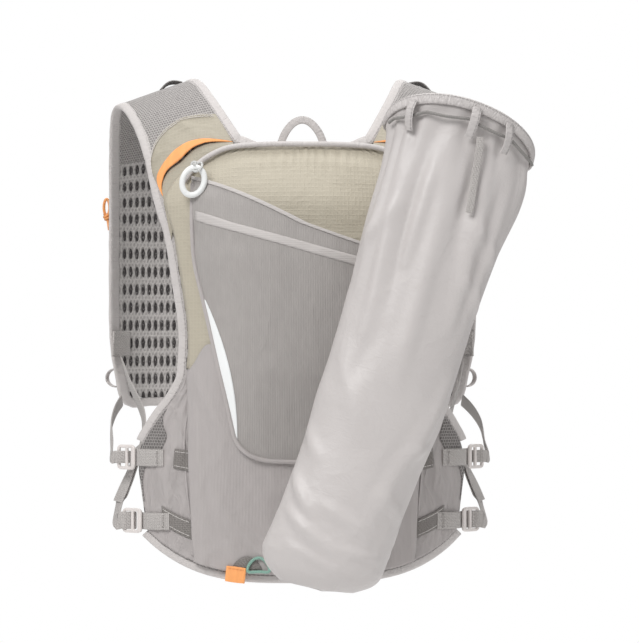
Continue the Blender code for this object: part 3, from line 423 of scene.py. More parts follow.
# %% Holes, creases and stitches
HOLE_SOCKETS = {"Across": 0.0048, "Along": 0.0136, "Wide": 0.0028, "Tall": 0.0094, "Stagger": 0.5}
tree, given, result = new_group("eyelets", HOLE_SOCKETS, ("Hole", "Rim"))
a, b = flat_place(tree)
row = divide(tree, b, given["Along"])
odd = calc(tree, "PINGPONG", calc(tree, "FLOOR", row), 1.0)
place = divide(tree, a, given["Across"])
place = times_plus(tree, odd, given["Stagger"], place)
side = times(tree, minus(tree, calc(tree, "FRACT", place), 0.5), given["Across"])
up = times(tree, minus(tree, calc(tree, "FRACT", row), 0.5), given["Along"])
side = divide(tree, side, times(tree, given["Wide"], 0.5))
up = divide(tree, up, times(tree, given["Tall"], 0.5))
reach = plus(tree, calc(tree, "POWER", absolute(tree, side), 2.0),
             calc(tree, "POWER", absolute(tree, up), 2.0))
feed(tree, result["Hole"], minus(tree, 1.0, ramp(tree, reach, 0.82, 1.12)))
feed(tree, result["Rim"], ramp(tree, reach, 0.6, 1.9))

CREASE_SOCKETS = {"Size": 0.02, "Stretch": 3.0, "Sharpness": 1.0}
tree, given, result = new_group("creases", CREASE_SOCKETS, ("Height", "Tone"))
a, b = flat_place(tree)
join = tree.nodes.new("ShaderNodeCombineXYZ")
feed(tree, join.inputs[0], divide(tree, a, given["Size"]))
feed(tree, join.inputs[1], divide(tree, divide(tree, b, given["Size"]), given["Stretch"]))
cloud = tree.nodes.new("ShaderNodeTexNoise")
cloud.inputs["Scale"].default_value = 1.0
cloud.inputs["Detail"].default_value = 3.0
cloud.inputs["Distortion"].default_value = 0.6
tree.links.new(join.outputs[0], cloud.inputs["Vector"])
fold = absolute(tree, minus(tree, cloud.outputs["Fac"], 0.5))
fold = minus(tree, 1.0, times(tree, fold, 5.0), clamp=True)
feed(tree, result["Height"], calc(tree, "POWER", fold, given["Sharpness"]))
feed(tree, result["Tone"], cloud.outputs["Fac"])

STITCH_SOCKETS = {"Offset": 0.0, "Pitch": 0.0032, "Thread": 0.0006}
tree, given, result = new_group("stitch_row", STITCH_SOCKETS, ("Mask",))
a, b = flat_place(tree)
off = absolute(tree, minus(tree, a, given["Offset"]))
core = times(tree, given["Thread"], 0.4)
inside = minus(tree, 1.0, ramp(tree, off, core, given["Thread"]))
beat = absolute(tree, minus(tree, calc(tree, "FRACT", divide(tree, b, given["Pitch"])), 0.5))
dash = minus(tree, 1.0, ramp(tree, beat, 0.30, 0.40))
feed(tree, result["Mask"], times(tree, inside, dash))
print("groups:", sorted(group.name for group in bpy.data.node_groups))

# %% [markdown]
# ## The finishes
#
# Every cloth is one dull shader with a sheen, a height that a Bump node turns into threads, and a
# tone that wanders a few percent, as dyed cloth does. Most patterns also tie the tone to their
# height, which paints shade into their grooves and folds. They differ in thread and colour, so one
# function builds them all from a colour, a darker colour for the painted shade of the low places
# and a pattern.

# %% Cloth finishes
def finish_of(name, high, low, roughness, sheen, pattern, depth, wander=0.05):
    """Cloth whose pattern(tree) gives its height and its tone, both from 0 to about 1."""
    material = bpy.data.materials.new(name)
    material.use_nodes = True
    tree = material.node_tree
    shader = tree.nodes["Principled BSDF"]
    shader.inputs["Sheen Weight"].default_value = sheen
    shader.inputs["Sheen Roughness"].default_value = 0.5
    shader.inputs["Specular IOR Level"].default_value = 0.5
    height, tone = pattern(tree)
    cloud = use_group(tree, "creases", Size=0.045, Stretch=1.5)["Tone"]
    # Random dye wander added to the pattern's tone, which paints shade into its grooves and folds.
    dye_wander_and_shade = times_plus(tree, minus(tree, cloud, 0.5), wander * 4, tone, clamp=True)
    blend = tree.nodes.new("ShaderNodeMix")
    blend.data_type = "RGBA"
    feed(tree, blend.inputs[0], dye_wander_and_shade)
    # The low colour is painted shade for grooves and folds, and the darker end of the dye's wander.
    blend.inputs[6].default_value = (*low, 1)
    blend.inputs[7].default_value = (*high, 1)
    tree.links.new(blend.outputs[2], shader.inputs["Base Color"])
    rough = times_plus(tree, dye_wander_and_shade, -0.08, roughness + 0.04)
    tree.links.new(rough, shader.inputs["Roughness"])
    bump = tree.nodes.new("ShaderNodeBump")
    bump.inputs["Strength"].default_value = 1.0
    bump.inputs["Distance"].default_value = depth
    tree.links.new(height, bump.inputs["Height"])
    tree.links.new(bump.outputs[0], shader.inputs["Normal"])
    return material


def shade(colour, share):
    return tuple(channel * share for channel in colour)


def ripstop_pattern(tree):
    weave = use_group(tree, "thread_weave", Across=0.0007, Along=0.0007)["Height"]
    grid = use_group(tree, "ripstop_grid", Cell=0.0028, Thread=0.0005)["Line"]
    fine = use_group(tree, "creases", Size=0.011, Stretch=0.35, Sharpness=2.0)["Height"]
    wide = use_group(tree, "creases", Size=0.030, Stretch=0.5, Sharpness=1.5)["Height"]
    height = plus(tree, times(tree, weave, 0.05), times(tree, grid, 0.12))
    height = times_plus(tree, fine, 0.07, height)
    height = times_plus(tree, wide, 0.25, height)
    # The weave's raised threads and the grid's threads are painted lighter than the grooves, as
    # light and shade on the cloth.
    tone = times_plus(tree, grid, 0.13, times_plus(tree, weave, 0.22, 0.42))
    return height, tone


def rib_pattern(pitch, contrast):
    def pattern(tree):
        ribs = use_group(tree, "rib_knit", Pitch=pitch, Course=0.0008)["Height"]
        wide = use_group(tree, "creases", Size=0.035, Stretch=2.0, Sharpness=1.5)["Height"]
        slub = use_group(tree, "creases", Size=0.0035, Stretch=4.0, Sharpness=1.0)["Tone"]
        height = times_plus(tree, wide, 0.7, times(tree, ribs, 0.45))
        # The tone follows the ribs, so the grooves between them get a painted shade; the slub adds
        # a random tone on top.
        tone = times_plus(tree, ribs, contrast, 0.75 - contrast * 0.7)
        tone = times_plus(tree, minus(tree, slub, 0.5), contrast * 1.4, tone)
        return height, tone

    return pattern


def crinkle_pattern(tree):
    weave = use_group(tree, "thread_weave", Across=0.0008, Along=0.0008)["Height"]
    fine = use_group(tree, "creases", Size=0.010, Stretch=3.5, Sharpness=1.4)["Height"]
    height = times_plus(tree, fine, 0.7, times(tree, weave, 0.08))
    # The tone follows the fine creases, so their ridges are painted lighter and the cloth between
    # them darker, as light and shade.
    return height, times_plus(tree, fine, 0.30, 0.5)


def webbing_pattern(tree):
    weave = use_group(tree, "thread_weave", Across=0.0012, Along=0.0016)["Height"]
    slub = use_group(tree, "creases", Size=0.002, Stretch=0.5, Sharpness=1.0)["Tone"]
    tone = times_plus(tree, minus(tree, slub, 0.5), 0.25, 0.55)
    return weave, times_plus(tree, weave, 0.25, tone)


def tape_pattern(tree):
    weave = use_group(tree, "thread_weave", Across=0.0009, Along=0.0009)["Height"]
    row = use_group(tree, "stitch_row", Offset=-0.0026, Pitch=0.0032, Thread=0.0007)["Mask"]
    pull = use_group(tree, "creases", Size=0.006, Stretch=0.5, Sharpness=1.2)["Height"]
    height = times_plus(tree, pull, 0.5, times(tree, weave, 0.12))
    height = times_plus(tree, row, -0.8, height)
    tone = times_plus(tree, weave, 0.2, 0.6)
    return height, times_plus(tree, row, -0.4, tone)


def coated_pattern(tree):
    wide = use_group(tree, "creases", Size=0.045, Stretch=1.6, Sharpness=1.5)["Height"]
    fine = use_group(tree, "creases", Size=0.014, Stretch=0.6, Sharpness=2.0)["Height"]
    weave = use_group(tree, "thread_weave", Across=0.0006, Along=0.0006)["Height"]
    height = times_plus(tree, wide, 0.22, times(tree, fine, 0.05))
    height = times_plus(tree, weave, 0.02, height)
    return height, times_plus(tree, weave, 0.15, 0.6)


def spacer_pattern(tree):
    big = use_group(tree, "eyelets", Across=0.0053, Along=0.0150, Wide=0.0030, Tall=0.0092,
                    Stagger=0.0)
    small = use_group(tree, "eyelets", Across=0.0029, Along=0.0034, Wide=0.0015, Tall=0.0022,
                      Stagger=0.5)
    threads = use_group(tree, "creases", Size=0.0011, Stretch=2.5, Sharpness=1.0)["Tone"]
    # The holes don't go through, so the shade in them is painted: big and small holes are coloured
    # towards the near-black low colour.
    solid = minus(tree, 1.0, big["Hole"])
    knit = minus(tree, 1.0, times(tree, small["Hole"], 0.26))
    tone = times(tree, solid, knit)
    inner = times(tree, big["Hole"], times(tree, ramp(tree, threads, 0.5, 0.72), 0.45))
    height = times_plus(tree, small["Rim"], 0.25, big["Rim"])
    return height, plus(tree, tone, inner)


def net_pattern(tree):
    cells = use_group(tree, "eyelets", Across=0.0020, Along=0.0024, Wide=0.0013, Tall=0.0017,
                      Stagger=0.5)
    slub = use_group(tree, "creases", Size=0.004, Stretch=1.0, Sharpness=1.0)["Tone"]
    # The net's openings are painted dark, as shade in the holes.
    tone = minus(tree, 1.0, times(tree, cells["Hole"], 0.62))
    return cells["Rim"], times_plus(tree, minus(tree, slub, 0.5), 0.5, tone)


def braid_pattern(tree):
    weave = use_group(tree, "thread_weave", Across=0.0009, Along=0.0013)["Height"]
    return weave, times_plus(tree, weave, 0.5, 0.4)


KHAKI = (0.515, 0.467, 0.372)
LIGHT_GREY = (0.455, 0.42, 0.41)
MID_GREY = (0.385, 0.36, 0.345)
PALE = (0.60, 0.565, 0.55)
QUIVER_GREY = (0.545, 0.512, 0.50)
ORANGE = (1.0, 0.42, 0.14)
TEAL = (0.30, 0.52, 0.43)
CLOTHS = {
    "ripstop": (KHAKI, shade(KHAKI, 0.74), 0.55, 0.12, ripstop_pattern, 0.0010),
    # Same ripstop as the bag, painted darker as shade for the bag's sides, the shoulder patches and
    # the gussets.
    "ripstop_painted_shade": (shade(KHAKI, 0.85), shade(KHAKI, 0.62), 0.58, 0.12, ripstop_pattern, 0.0010),
    "stretch_weave": (LIGHT_GREY, shade(LIGHT_GREY, 0.72), 0.80, 0.15,
                      rib_pattern(0.0011, 0.22), 0.0006),
    "ribbed_weave": (MID_GREY, shade(MID_GREY, 0.68), 0.85, 0.15,
                     rib_pattern(0.0013, 0.36), 0.0006),
    "crinkle_cloth": (LIGHT_GREY, shade(LIGHT_GREY, 0.66), 0.60, 0.10, crinkle_pattern, 0.0012),
    "binding_tape": (PALE, shade(PALE, 0.76), 0.75, 0.15, tape_pattern, 0.0006),
    # Near-black low colour: painted shade inside the mesh's holes.
    "spacer_mesh": ((0.50, 0.475, 0.46), (0.035, 0.03, 0.03), 0.85, 0.1,
                    spacer_pattern, 0.0016, 0.01),
    # Dark low colours of the nets: painted shade in their openings.
    "net": ((0.44, 0.415, 0.40), (0.11, 0.10, 0.10), 0.85, 0.1, net_pattern, 0.0008, 0.02),
    "dark_net": ((0.30, 0.28, 0.27), (0.055, 0.05, 0.05), 0.85, 0.1, net_pattern, 0.0008, 0.02),
    "webbing": ((0.52, 0.49, 0.47), (0.36, 0.335, 0.32), 0.72, 0.15, webbing_pattern, 0.0004),
    "dark_webbing": ((0.26, 0.24, 0.225), (0.17, 0.155, 0.145), 0.75, 0.15,
                     webbing_pattern, 0.0004),
    "elastic": ((0.30, 0.285, 0.275), (0.18, 0.17, 0.165), 0.7, 0.2, webbing_pattern, 0.0004),
    "coated_cloth": (QUIVER_GREY, shade(QUIVER_GREY, 0.84), 0.42, 0.0, coated_pattern, 0.0016),
    "orange_cloth": (ORANGE, shade(ORANGE, 0.72), 0.65, 0.1, crinkle_pattern, 0.0004),
    "teal_cord": (TEAL, shade(TEAL, 0.5), 0.65, 0.1, braid_pattern, 0.0003),
    "orange_cord": (ORANGE, shade(ORANGE, 0.55), 0.6, 0.1, braid_pattern, 0.0003),
    "grey_cord": ((0.30, 0.285, 0.27), (0.13, 0.12, 0.115), 0.65, 0.1, braid_pattern, 0.0003),
    "white_cord": ((0.80, 0.80, 0.78), (0.30, 0.30, 0.30), 0.6, 0.1, braid_pattern, 0.0004),
    "reflective": ((0.86, 0.875, 0.87), (0.74, 0.75, 0.75), 0.35, 0.0, coated_pattern, 0.0004),
    # Pale stripe cloth, also used for the painted highlight along the pocket's folded mouth.
    "pale_stripe_and_highlight": ((0.52, 0.49, 0.475), (0.38, 0.355, 0.34), 0.7, 0.0,
                    rib_pattern(0.0018, 0.3), 0.0004),
    "thread": ((0.70, 0.665, 0.645), (0.50, 0.47, 0.45), 0.7, 0.1, braid_pattern, 0.0001),
}
finishes = {name: finish_of(name, *cloth) for name, cloth in CLOTHS.items()}
print("cloth finishes:", len(finishes))

# %% [markdown]
# ## Moulded plastic and soft rubber
#
# The ladder locks, clasps and pull ring are moulded. They have no weave, so their finish reads the
# object's own coordinates: a faint cloudy tone, a fine grain in the mould's surface, and a paler
# colour on the sharpest edges and corners.

# %% Plastic finishes
def moulded(name, colour, roughness, grain):
    material = bpy.data.materials.new(name)
    material.use_nodes = True
    tree = material.node_tree
    shader = tree.nodes["Principled BSDF"]
    where = tree.nodes.new("ShaderNodeTexCoord")
    cloud = tree.nodes.new("ShaderNodeTexNoise")
    cloud.inputs["Scale"].default_value = 90.0
    tree.links.new(where.outputs["Object"], cloud.inputs["Vector"])
    speck = tree.nodes.new("ShaderNodeTexNoise")
    speck.inputs["Scale"].default_value = 1600.0
    tree.links.new(where.outputs["Object"], speck.inputs["Vector"])
    edge = tree.nodes.new("ShaderNodeNewGeometry")
    # Paler colour where the surface is sharpest, on edges and corners.
    sharp_edges = ramp(tree, edge.outputs["Pointiness"], 0.50, 0.60)
    tone = times_plus(tree, cloud.outputs["Fac"], 0.5, times(tree, sharp_edges, 0.4), clamp=True)
    blend = tree.nodes.new("ShaderNodeMix")
    blend.data_type = "RGBA"
    feed(tree, blend.inputs[0], tone)
    blend.inputs[6].default_value = (*shade(colour, 0.86), 1)
    blend.inputs[7].default_value = (*(min(channel * 1.08, 1.0) for channel in colour), 1)
    tree.links.new(blend.outputs[2], shader.inputs["Base Color"])
    rough = times_plus(tree, cloud.outputs["Fac"], 0.16, roughness - 0.08)
    tree.links.new(rough, shader.inputs["Roughness"])
    bump = tree.nodes.new("ShaderNodeBump")
    bump.inputs["Strength"].default_value = 0.35
    bump.inputs["Distance"].default_value = grain
    tree.links.new(speck.outputs["Fac"], bump.inputs["Height"])
    tree.links.new(bump.outputs[0], shader.inputs["Normal"])
    return material


finishes["pale_plastic"] = moulded("pale_plastic", (0.74, 0.69, 0.665), 0.38, 0.0002)
finishes["grey_plastic"] = moulded("grey_plastic", (0.42, 0.41, 0.40), 0.42, 0.0002)
finishes["ring_rubber"] = moulded("ring_rubber", (0.82, 0.83, 0.82), 0.45, 0.0001)
print("all finishes:", len(finishes))

# %% [markdown]
# ## Laying cloth and carrying sections
#
# Two tools make almost every part. A panel is a grid laid on a surface function, with its wall
# added outward by a Solidify modifier, so its edge stays clean and its inner face is real. A tape,
# cord or strap is a cross-section carried along a line: a grid again, rolled round the line,
# sewn shut where it meets and capped at both ends.

# %% Panels
SEW_DISTANCE = 0.00002


def keep(mesh_data, name, finish, slot, stands_for=(), wall=None, centred=False, levels=0,
         angle=60):
    """Makes the finished piece from a bmesh and puts it in the frame."""
    mesh = bpy.data.meshes.new(name)
    mesh_data.to_mesh(mesh)
    mesh_data.free()
    mesh.shade_smooth()
    mesh.set_sharp_from_angle(angle=math.radians(angle))
    mesh.materials.append(finishes[finish])
    piece = bpy.data.objects.new(name, mesh)
    bpy.context.scene.collection.objects.link(piece)
    if wall:
        solid = piece.modifiers.new("wall", "SOLIDIFY")
        solid.thickness = wall
        solid.offset = 0.0 if centred else 1.0
        solid.use_even_offset = False
    if levels:
        smooth = piece.modifiers.new("smooth", "SUBSURF")
        smooth.levels = levels
        smooth.render_levels = levels
    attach(piece, "root")
    if stands_for:
        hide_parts(*stands_for)
    return piece


def cloth_grid(place, across, along):
    """Grid laid on place(u, v), which gives a point and its metres over the cloth."""
    grid = bmesh.new()
    bmesh.ops.create_grid(grid, x_segments=across, y_segments=along, size=1.0)
    flat = grid.loops.layers.uv.new("flat")
    spots = {}
    for vert in grid.verts:
        point, metres = place((vert.co.x + 1) / 2, (vert.co.y + 1) / 2)
        vert.co = point
        spots[vert.index] = metres
    for face in grid.faces:
        for loop in face.loops:
            loop[flat].uv = spots[loop.vert.index]
    return grid


def panel(name, place, across, along, wall, finish, slot, stands_for=(), flip=False, **options):
    grid = cloth_grid(place, across, along)
    if flip:
        bmesh.ops.reverse_faces(grid, faces=grid.faces)
    return keep(grid, name, finish, slot, stands_for, wall=wall, **options)


# %% Sections carried along a line
def smooth_line(points, spacing):
    """Points of a smooth curve through the given ones, at about the given spacing."""
    knots = [Vector(point) for point in points]
    knots = [knots[0] * 2 - knots[1]] + knots + [knots[-1] * 2 - knots[-2]]
    fine = []
    for i in range(1, len(knots) - 2):
        before, start, end, after = knots[i - 1 : i + 3]
        steps = max(2, round((end - start).length / spacing))
        for step in range(steps):
            t = step / steps
            bend = (2 * before - 5 * start + 4 * end - after) * t**2
            bend += (3 * start - before - 3 * end + after) * t**3
            fine.append(0.5 * (2 * start + (end - before) * t + bend))
    fine.append(knots[-2])
    return fine


def read_line(points, share):
    """Point at this share of the way along a line of points."""
    place = share * (len(points) - 1)
    i = min(int(place), len(points) - 2)
    return points[i].lerp(points[i + 1], place - i)


def round_points(count, place):
    """Points of place(turn) over one full turn."""
    return [place(2 * math.pi * i / count) for i in range(count)]


def line_length(points):
    return sum((second - first).length for first, second in zip(points, points[1:]))


def close_skin(grid, capped=True):
    """Sews a rolled grid shut where it meets itself, and caps its two ends."""
    bmesh.ops.remove_doubles(grid, verts=grid.verts, dist=SEW_DISTANCE)
    if capped:
        rims = [edge for edge in grid.edges if edge.is_boundary]
        bmesh.ops.holes_fill(grid, edges=rims, sides=0)
    bmesh.ops.recalc_face_normals(grid, faces=grid.faces)
    return grid


def carried(points, sides, ups, outline, around, closed=False):
    """Skin of outline(turn), a side and an up, carried along points, with its flat map."""
    count = len(points)
    ways = [0.0]
    for i in range(1, count + (1 if closed else 0)):
        ways.append(ways[-1] + (points[i % count] - points[i - 1]).length)
    rows = len(ways) - 1

    def place(u, v):
        i = round(v * rows)
        side, up = outline(u * 2 * math.pi)
        return points[i % count] + sides[i % count] * side + ups[i % count] * up, (side, ways[i])

    grid = close_skin(cloth_grid(place, around, rows), capped=not closed)
    flat = grid.loops.layers.uv["flat"]
    for cap in [face for face in grid.faces if len(face.verts) > 4]:
        for loop in cap.loops:
            loop[flat].uv = (0.0, 0.0)
    return grid


def frames_of(points, facing, closed=False):
    """Side and up directions at each point: facing(point, i) is the way the flat face looks."""
    sides, ups = [], []
    count = len(points)
    for i, point in enumerate(points):
        ahead = points[(i + 1) % count if closed else min(i + 1, count - 1)]
        behind = points[(i - 1) % count if closed else max(i - 1, 0)]
        way = (ahead - behind).normalized()
        up = Vector(facing(point, i))
        side = way.cross(up).normalized()
        sides.append(side)
        ups.append(side.cross(way).normalized())
    return sides, ups


def flat_outline(width, wall, roundness=5.0):
    """Outline of a flat strap with soft edges."""

    def outline(turn):
        cos, sin = math.cos(turn), math.sin(turn)
        across = math.copysign(abs(cos) ** (2 / roundness), cos) * width / 2
        lift = math.copysign(abs(sin) ** (2 / 2.6), sin) * wall / 2
        return across, lift

    return outline


def round_outline(radius):
    return lambda turn: (radius * math.cos(turn), radius * math.sin(turn))


def strap(name, route, facing, width, wall, finish, slot, stands_for=(), spacing=0.003):
    """Woven strap along a route."""
    points = smooth_line(route, spacing)
    sides, ups = frames_of(points, facing)
    grid = carried(points, sides, ups, flat_outline(width, wall), 20)
    return keep(grid, name, finish, slot, stands_for)


def cord(name, points, radius, finish, slot, stands_for=(), closed=False, around=12):
    """Round cord along points, whose twist comes from the finish."""
    sides, ups = frames_of(points, lambda point, i: (0.31, -0.83, 0.46), closed)
    grid = carried(points, sides, ups, round_outline(radius), around, closed)
    return keep(grid, name, finish, slot, stands_for)


def stitches(name, place, length, finish="thread", slot="binding_tape"):
    """Thread that dips in and out of the cloth: place(share, lift) gives a point on it."""
    beats = max(round(length / 0.0030), 2) * 6
    points = [place(i / beats, 0.00035 * math.sin(math.pi * i / 3)) for i in range(beats + 1)]
    return cord(name, points, 0.00028, finish, slot, around=6)


print("tools ready")

# %% [markdown]
# ## Creases
#
# Sewn cloth is never a smooth shell: it puckers along a seam, draws folds from a pulled corner and
# crumples where it is loose. Long folds are written down as lines with a height and a width, and
# the small crumples come from a steady noise, which repeats the same way on every run.

# %% Folds and crumples
def fold_lift(a, b, folds):
    """Height of the written folds at a place: each is start, end, height and half width."""
    lift = 0.0
    for a0, b0, a1, b1, height, half in folds:
        da, db = a1 - a0, b1 - b0
        share = ((a - a0) * da + (b - b0) * db) / (da * da + db * db)
        held = min(max(share, 0.0), 1.0)
        off = math.hypot(a - a0 - da * held, b - b0 - db * held)
        if off < 3 * half:
            taper = math.sin(math.pi * min(max(0.08 + 0.84 * share, 0.0), 1.0))
            lift += height * max(taper, 0.0) * math.exp(-((off / half) ** 2))
    return lift


def down_the_back(folds):
    """The same folds, with their levels in metres and no longer in shares of the drop."""
    return [(a0, b0 * VEST_DROP, a1, b1 * VEST_DROP, height, half)
            for a0, b0, a1, b1, height, half in folds]


def crumple(a, b, seed, size=0.03, stretch=1.0):
    """Soft wandering height between about -1 and 1."""
    return noise.fractal(Vector((a / size, b / size / stretch, seed)), 0.9, 2.0, 3)


def ridges(a, b, seed, size=0.03, stretch=1.0):
    """Sharp little ridges between 0 and 1, as in crumpled thin cloth."""
    value = noise.noise(Vector((a / size, b / size / stretch, seed)))
    value += 0.4 * noise.noise(Vector((2.1 * a / size, 2.1 * b / size / stretch, seed + 7)))
    return max(1 - abs(value) * 4, 0.0) ** 1.5


print("crumple at the middle:", round(crumple(0.01, 0.02, 1.0), 3))

# %% [markdown]
# ## Back panel, bag and lower panel
#
# On the inside lies a thick spacer mesh. Over it the khaki ripstop bag stands off by two
# centimetres, taut from side to side and puckered under its zip. A ribbed stretch cloth covers its
# lower half down to the hem. All three follow the same rows, so each lies just over the last.

# %% Back panel
BACK_TOP, BACK_FOOT = BACK_ROWS["drop"][0], 1.0


def neck_dip(x):
    """How far the neck edge dips below the strap's foot in the middle."""
    return 0.0085 * (1 - smooth_step(0.034, 0.060, abs(x)))


def back_place(u, v):
    drop = mix(BACK_FOOT, BACK_TOP, v)
    x = (2 * u - 1) * (back_half(drop) + 0.0012)
    way = back_way(x, drop) - neck_dip(x) * smooth_step(0.90, 1.0, v)
    return on_form(x, way), (x, way)


panel("spacer_back", back_place, 48, 80, PAD, "spacer_mesh", "spacer_mesh", ("back_panel",))

# %% Bag
BAG_TOP, BAG_FOOT = BAG_ROWS["drop"][0], BAG_ROWS["drop"][-1]
BAG_FOLDS = down_the_back((
    (-0.060, 0.205, 0.000, 0.197, 0.0011, 0.0030),
    (0.000, 0.197, 0.065, 0.212, 0.0011, 0.0030),
    (-0.090, 0.250, -0.070, 0.262, 0.0012, 0.0025),
    (-0.088, 0.262, -0.064, 0.268, 0.0010, 0.0022),
    (-0.098, 0.300, -0.094, 0.420, 0.0016, 0.0050),
    (-0.090, 0.430, -0.086, 0.560, 0.0014, 0.0040),
    (-0.030, 0.230, 0.050, 0.300, 0.0012, 0.0090),
    (0.020, 0.215, 0.080, 0.250, 0.0009, 0.0060),
))


def bag_crease(x, drop):
    """Creases of the bag's own cloth: fullest where nothing covers it."""
    folds = fold_lift(x, drop * VEST_DROP, BAG_FOLDS)
    near_top = 1 - smooth_step(0.17, 0.24, drop)
    pucker = near_top * 0.0006 * math.sin(x * 900 + 2 * math.sin(x * 130))
    loose = 0.0007 * crumple(x, drop * VEST_DROP, 3.0, 0.045, 1.2)
    loose += 0.0002 * ridges(x, drop * VEST_DROP, 5.0, 0.045, 0.8)
    bare = 1 - 0.65 * smooth_step(0.55, 0.62, drop)
    return (folds + pucker + loose) * bare


def bag_place(u, v):
    drop = mix(BAG_FOOT, BAG_TOP, v)
    x = (2 * u - 1) * bag_half(drop)
    lift = bag_lift(x, drop) + bag_crease(x, drop)
    return on_back(x, drop, lift), (x, -VEST_DROP * drop)


def side_place(side):
    """Side of the bag, sewn down flat between its edge and the armhole."""
    def place(u, v):
        drop = mix(0.635, 0.262, v)
        x = mix(bag_half(drop) - 0.004, back_half(drop) - 0.0006, u)
        way = -way_down(VEST_DROP * drop)
        return on_form(side * x, way, PAD + 0.0010 + 0.0006 * math.sin(math.pi * u)), (x, way)

    return place


for word, side in SIDES:
    # The bag's sides use the ripstop painted darker as shade.
    panel(f"bag_side_{word}", side_place(side), 8, 60, 0.0008, "ripstop_painted_shade", "ripstop",
          flip=side > 0)
panel("ripstop_bag", bag_place, 100, 130, 0.0011, "ripstop", "ripstop", ("main_bag",))

# %% Lower panel
LOWER_TOP = 0.595
LOWER_FOLDS = down_the_back((
    (-0.086, 0.64, -0.060, 0.80, 0.0022, 0.0060),
    (-0.075, 0.88, -0.050, 1.04, 0.0016, 0.0050),
    (-0.060, 0.97, -0.030, 1.06, 0.0018, 0.0040),
    (-0.040, 0.90, 0.030, 0.93, 0.0012, 0.0070),
    (-0.084, 0.72, -0.078, 0.98, 0.0014, 0.0030),
    (0.040, 0.85, 0.082, 0.78, 0.0014, 0.0060),
    (-0.070, 0.62, -0.030, 0.66, 0.0010, 0.0050),
    (-0.020, 1.02, 0.010, 1.06, 0.0012, 0.0040),
))


def lower_place(u, v):
    """Row levels end in a notch at the left, where the edge dips from the bag's side."""
    notch = 0.060 * (1 - smooth_step(0.0, 0.10, u)) + 0.030 * (1 - smooth_step(0.0, 0.10, 1 - u))
    drop = mix(1.0, LOWER_TOP - 0.015 + notch, v)
    x = (2 * u - 1) * (bag_half(min(drop, 0.985)) + 0.0010)
    level = drop + hem_sag(x) * smooth_step(0.80, 1.0, drop) / VEST_DROP
    crease = fold_lift(x, level * VEST_DROP, LOWER_FOLDS)
    crease += 0.0007 * (crumple(x, level * VEST_DROP, 9.0, 0.030, 2.0) + 0.5)
    low_down = smooth_step(0.70, 0.95, level)
    crease += 0.0009 * ridges(x, level * VEST_DROP, 19.0, 0.034, 2.2) * low_down
    crease *= smooth_step(0.0, 0.03, u) * smooth_step(0.0, 0.03, 1 - u)
    gather = 0.0007 * max(math.sin(x * 420 + 3 * math.sin(x * 60)), 0)
    gather *= smooth_step(0.90, 1.0, drop)
    held = min(level, 1.035)
    lift = bag_lift(x, held) + bag_crease(x, held) + CLOTH + LAYER_GAP + crease + gather
    return on_back(x, level, lift), (x, -VEST_DROP * level)


panel("ribbed_lower", lower_place, 110, 80, 0.0012, "stretch_weave", "stretch_weave",
      ("lower_panel",))

# %% [markdown]
# ## Stash pocket
#
# A darker ribbed pocket lies slantwise over the bag. Its mouth falls from the pull ring to the
# right, with a folded hem of bias-cut cloth below the edge, whose fold is painted pale as a
# highlight, a pale woven stripe under the hem, and a long reflective wedge down its left seam. The
# stripes are thin pieces that follow the pocket's own surface, so they bend with it.

# %% Stash pocket
def stash_edges(v):
    foot = 0.62 * STASH_HALF_WIDTH
    left = mix(-foot, -STASH_HALF_WIDTH, min(v * 1.35, 1.0))
    right = mix(foot, STASH_HALF_WIDTH * 1.02, v)
    return left, right


def stash_levels(u):
    return 0.845 - 0.045 * abs(2 * u - 1) ** 5, mix(0.222, 0.405, u)


STASH_FOLDS = down_the_back((
    (-0.075, 0.30, -0.020, 0.36, 0.0010, 0.0060),
    (0.030, 0.50, 0.068, 0.46, 0.0020, 0.0070),
    (0.020, 0.70, 0.052, 0.58, 0.0016, 0.0080),
    (-0.050, 0.66, -0.030, 0.78, 0.0012, 0.0050),
    (-0.010, 0.80, 0.030, 0.76, 0.0010, 0.0060),
    (0.055, 0.44, 0.050, 0.62, -0.0012, 0.0060),
))


def stash_skin(u, v, lift=0.0):
    left, right = stash_edges(v)
    foot, mouth = stash_levels(u)
    x, drop = mix(left, right, u), mix(foot, mouth, v)
    ease = STASH_EASE * (1 - abs(2 * u - 1) ** 3) * smooth_step(0.15, 1.0, v)
    crease = fold_lift(x, drop * VEST_DROP, STASH_FOLDS)
    crease += 0.0008 * (crumple(x, drop * VEST_DROP, 31.0, 0.040, 2.5) + 0.4)
    crease *= smooth_step(0.0, 0.06, u) * smooth_step(0.0, 0.06, 1 - u)
    base = bag_lift(x, drop) + 0.5 * bag_crease(x, drop) + 2 * CLOTH + 3 * LAYER_GAP
    return on_back(x, drop, base + ease + crease + lift), (x, -VEST_DROP * drop)


panel("ribbed_stash", stash_skin, 84, 100, 0.0011, "ribbed_weave", "ribbed_weave",
      ("stash_pocket",))


# %% Hem and stripe of the pocket
def stash_uv(x, drop):
    """Place on the stash pocket at this distance from the middle and level."""
    u, v = 0.5, 0.5
    for _ in range(6):
        foot, mouth = stash_levels(u)
        v = (foot - drop) / (foot - mouth)
        left, right = stash_edges(v)
        u = (x - left) / (right - left)
    return u, v


FACE = 0.0011


def stash_strip(name, upper, lower, wall):
    """Thin stripe between two lines of (x, drop) points on the pocket."""
    def place(u, v):
        spot = read_line(lower, u).lerp(read_line(upper, u), v)
        point = stash_skin(*stash_uv(spot.x, spot.y), FACE + 0.0001)[0]
        return point, (spot.y * VEST_DROP, spot.x)

    panel(name, place, 80, 4, wall, "pale_stripe_and_highlight", "binding_tape")


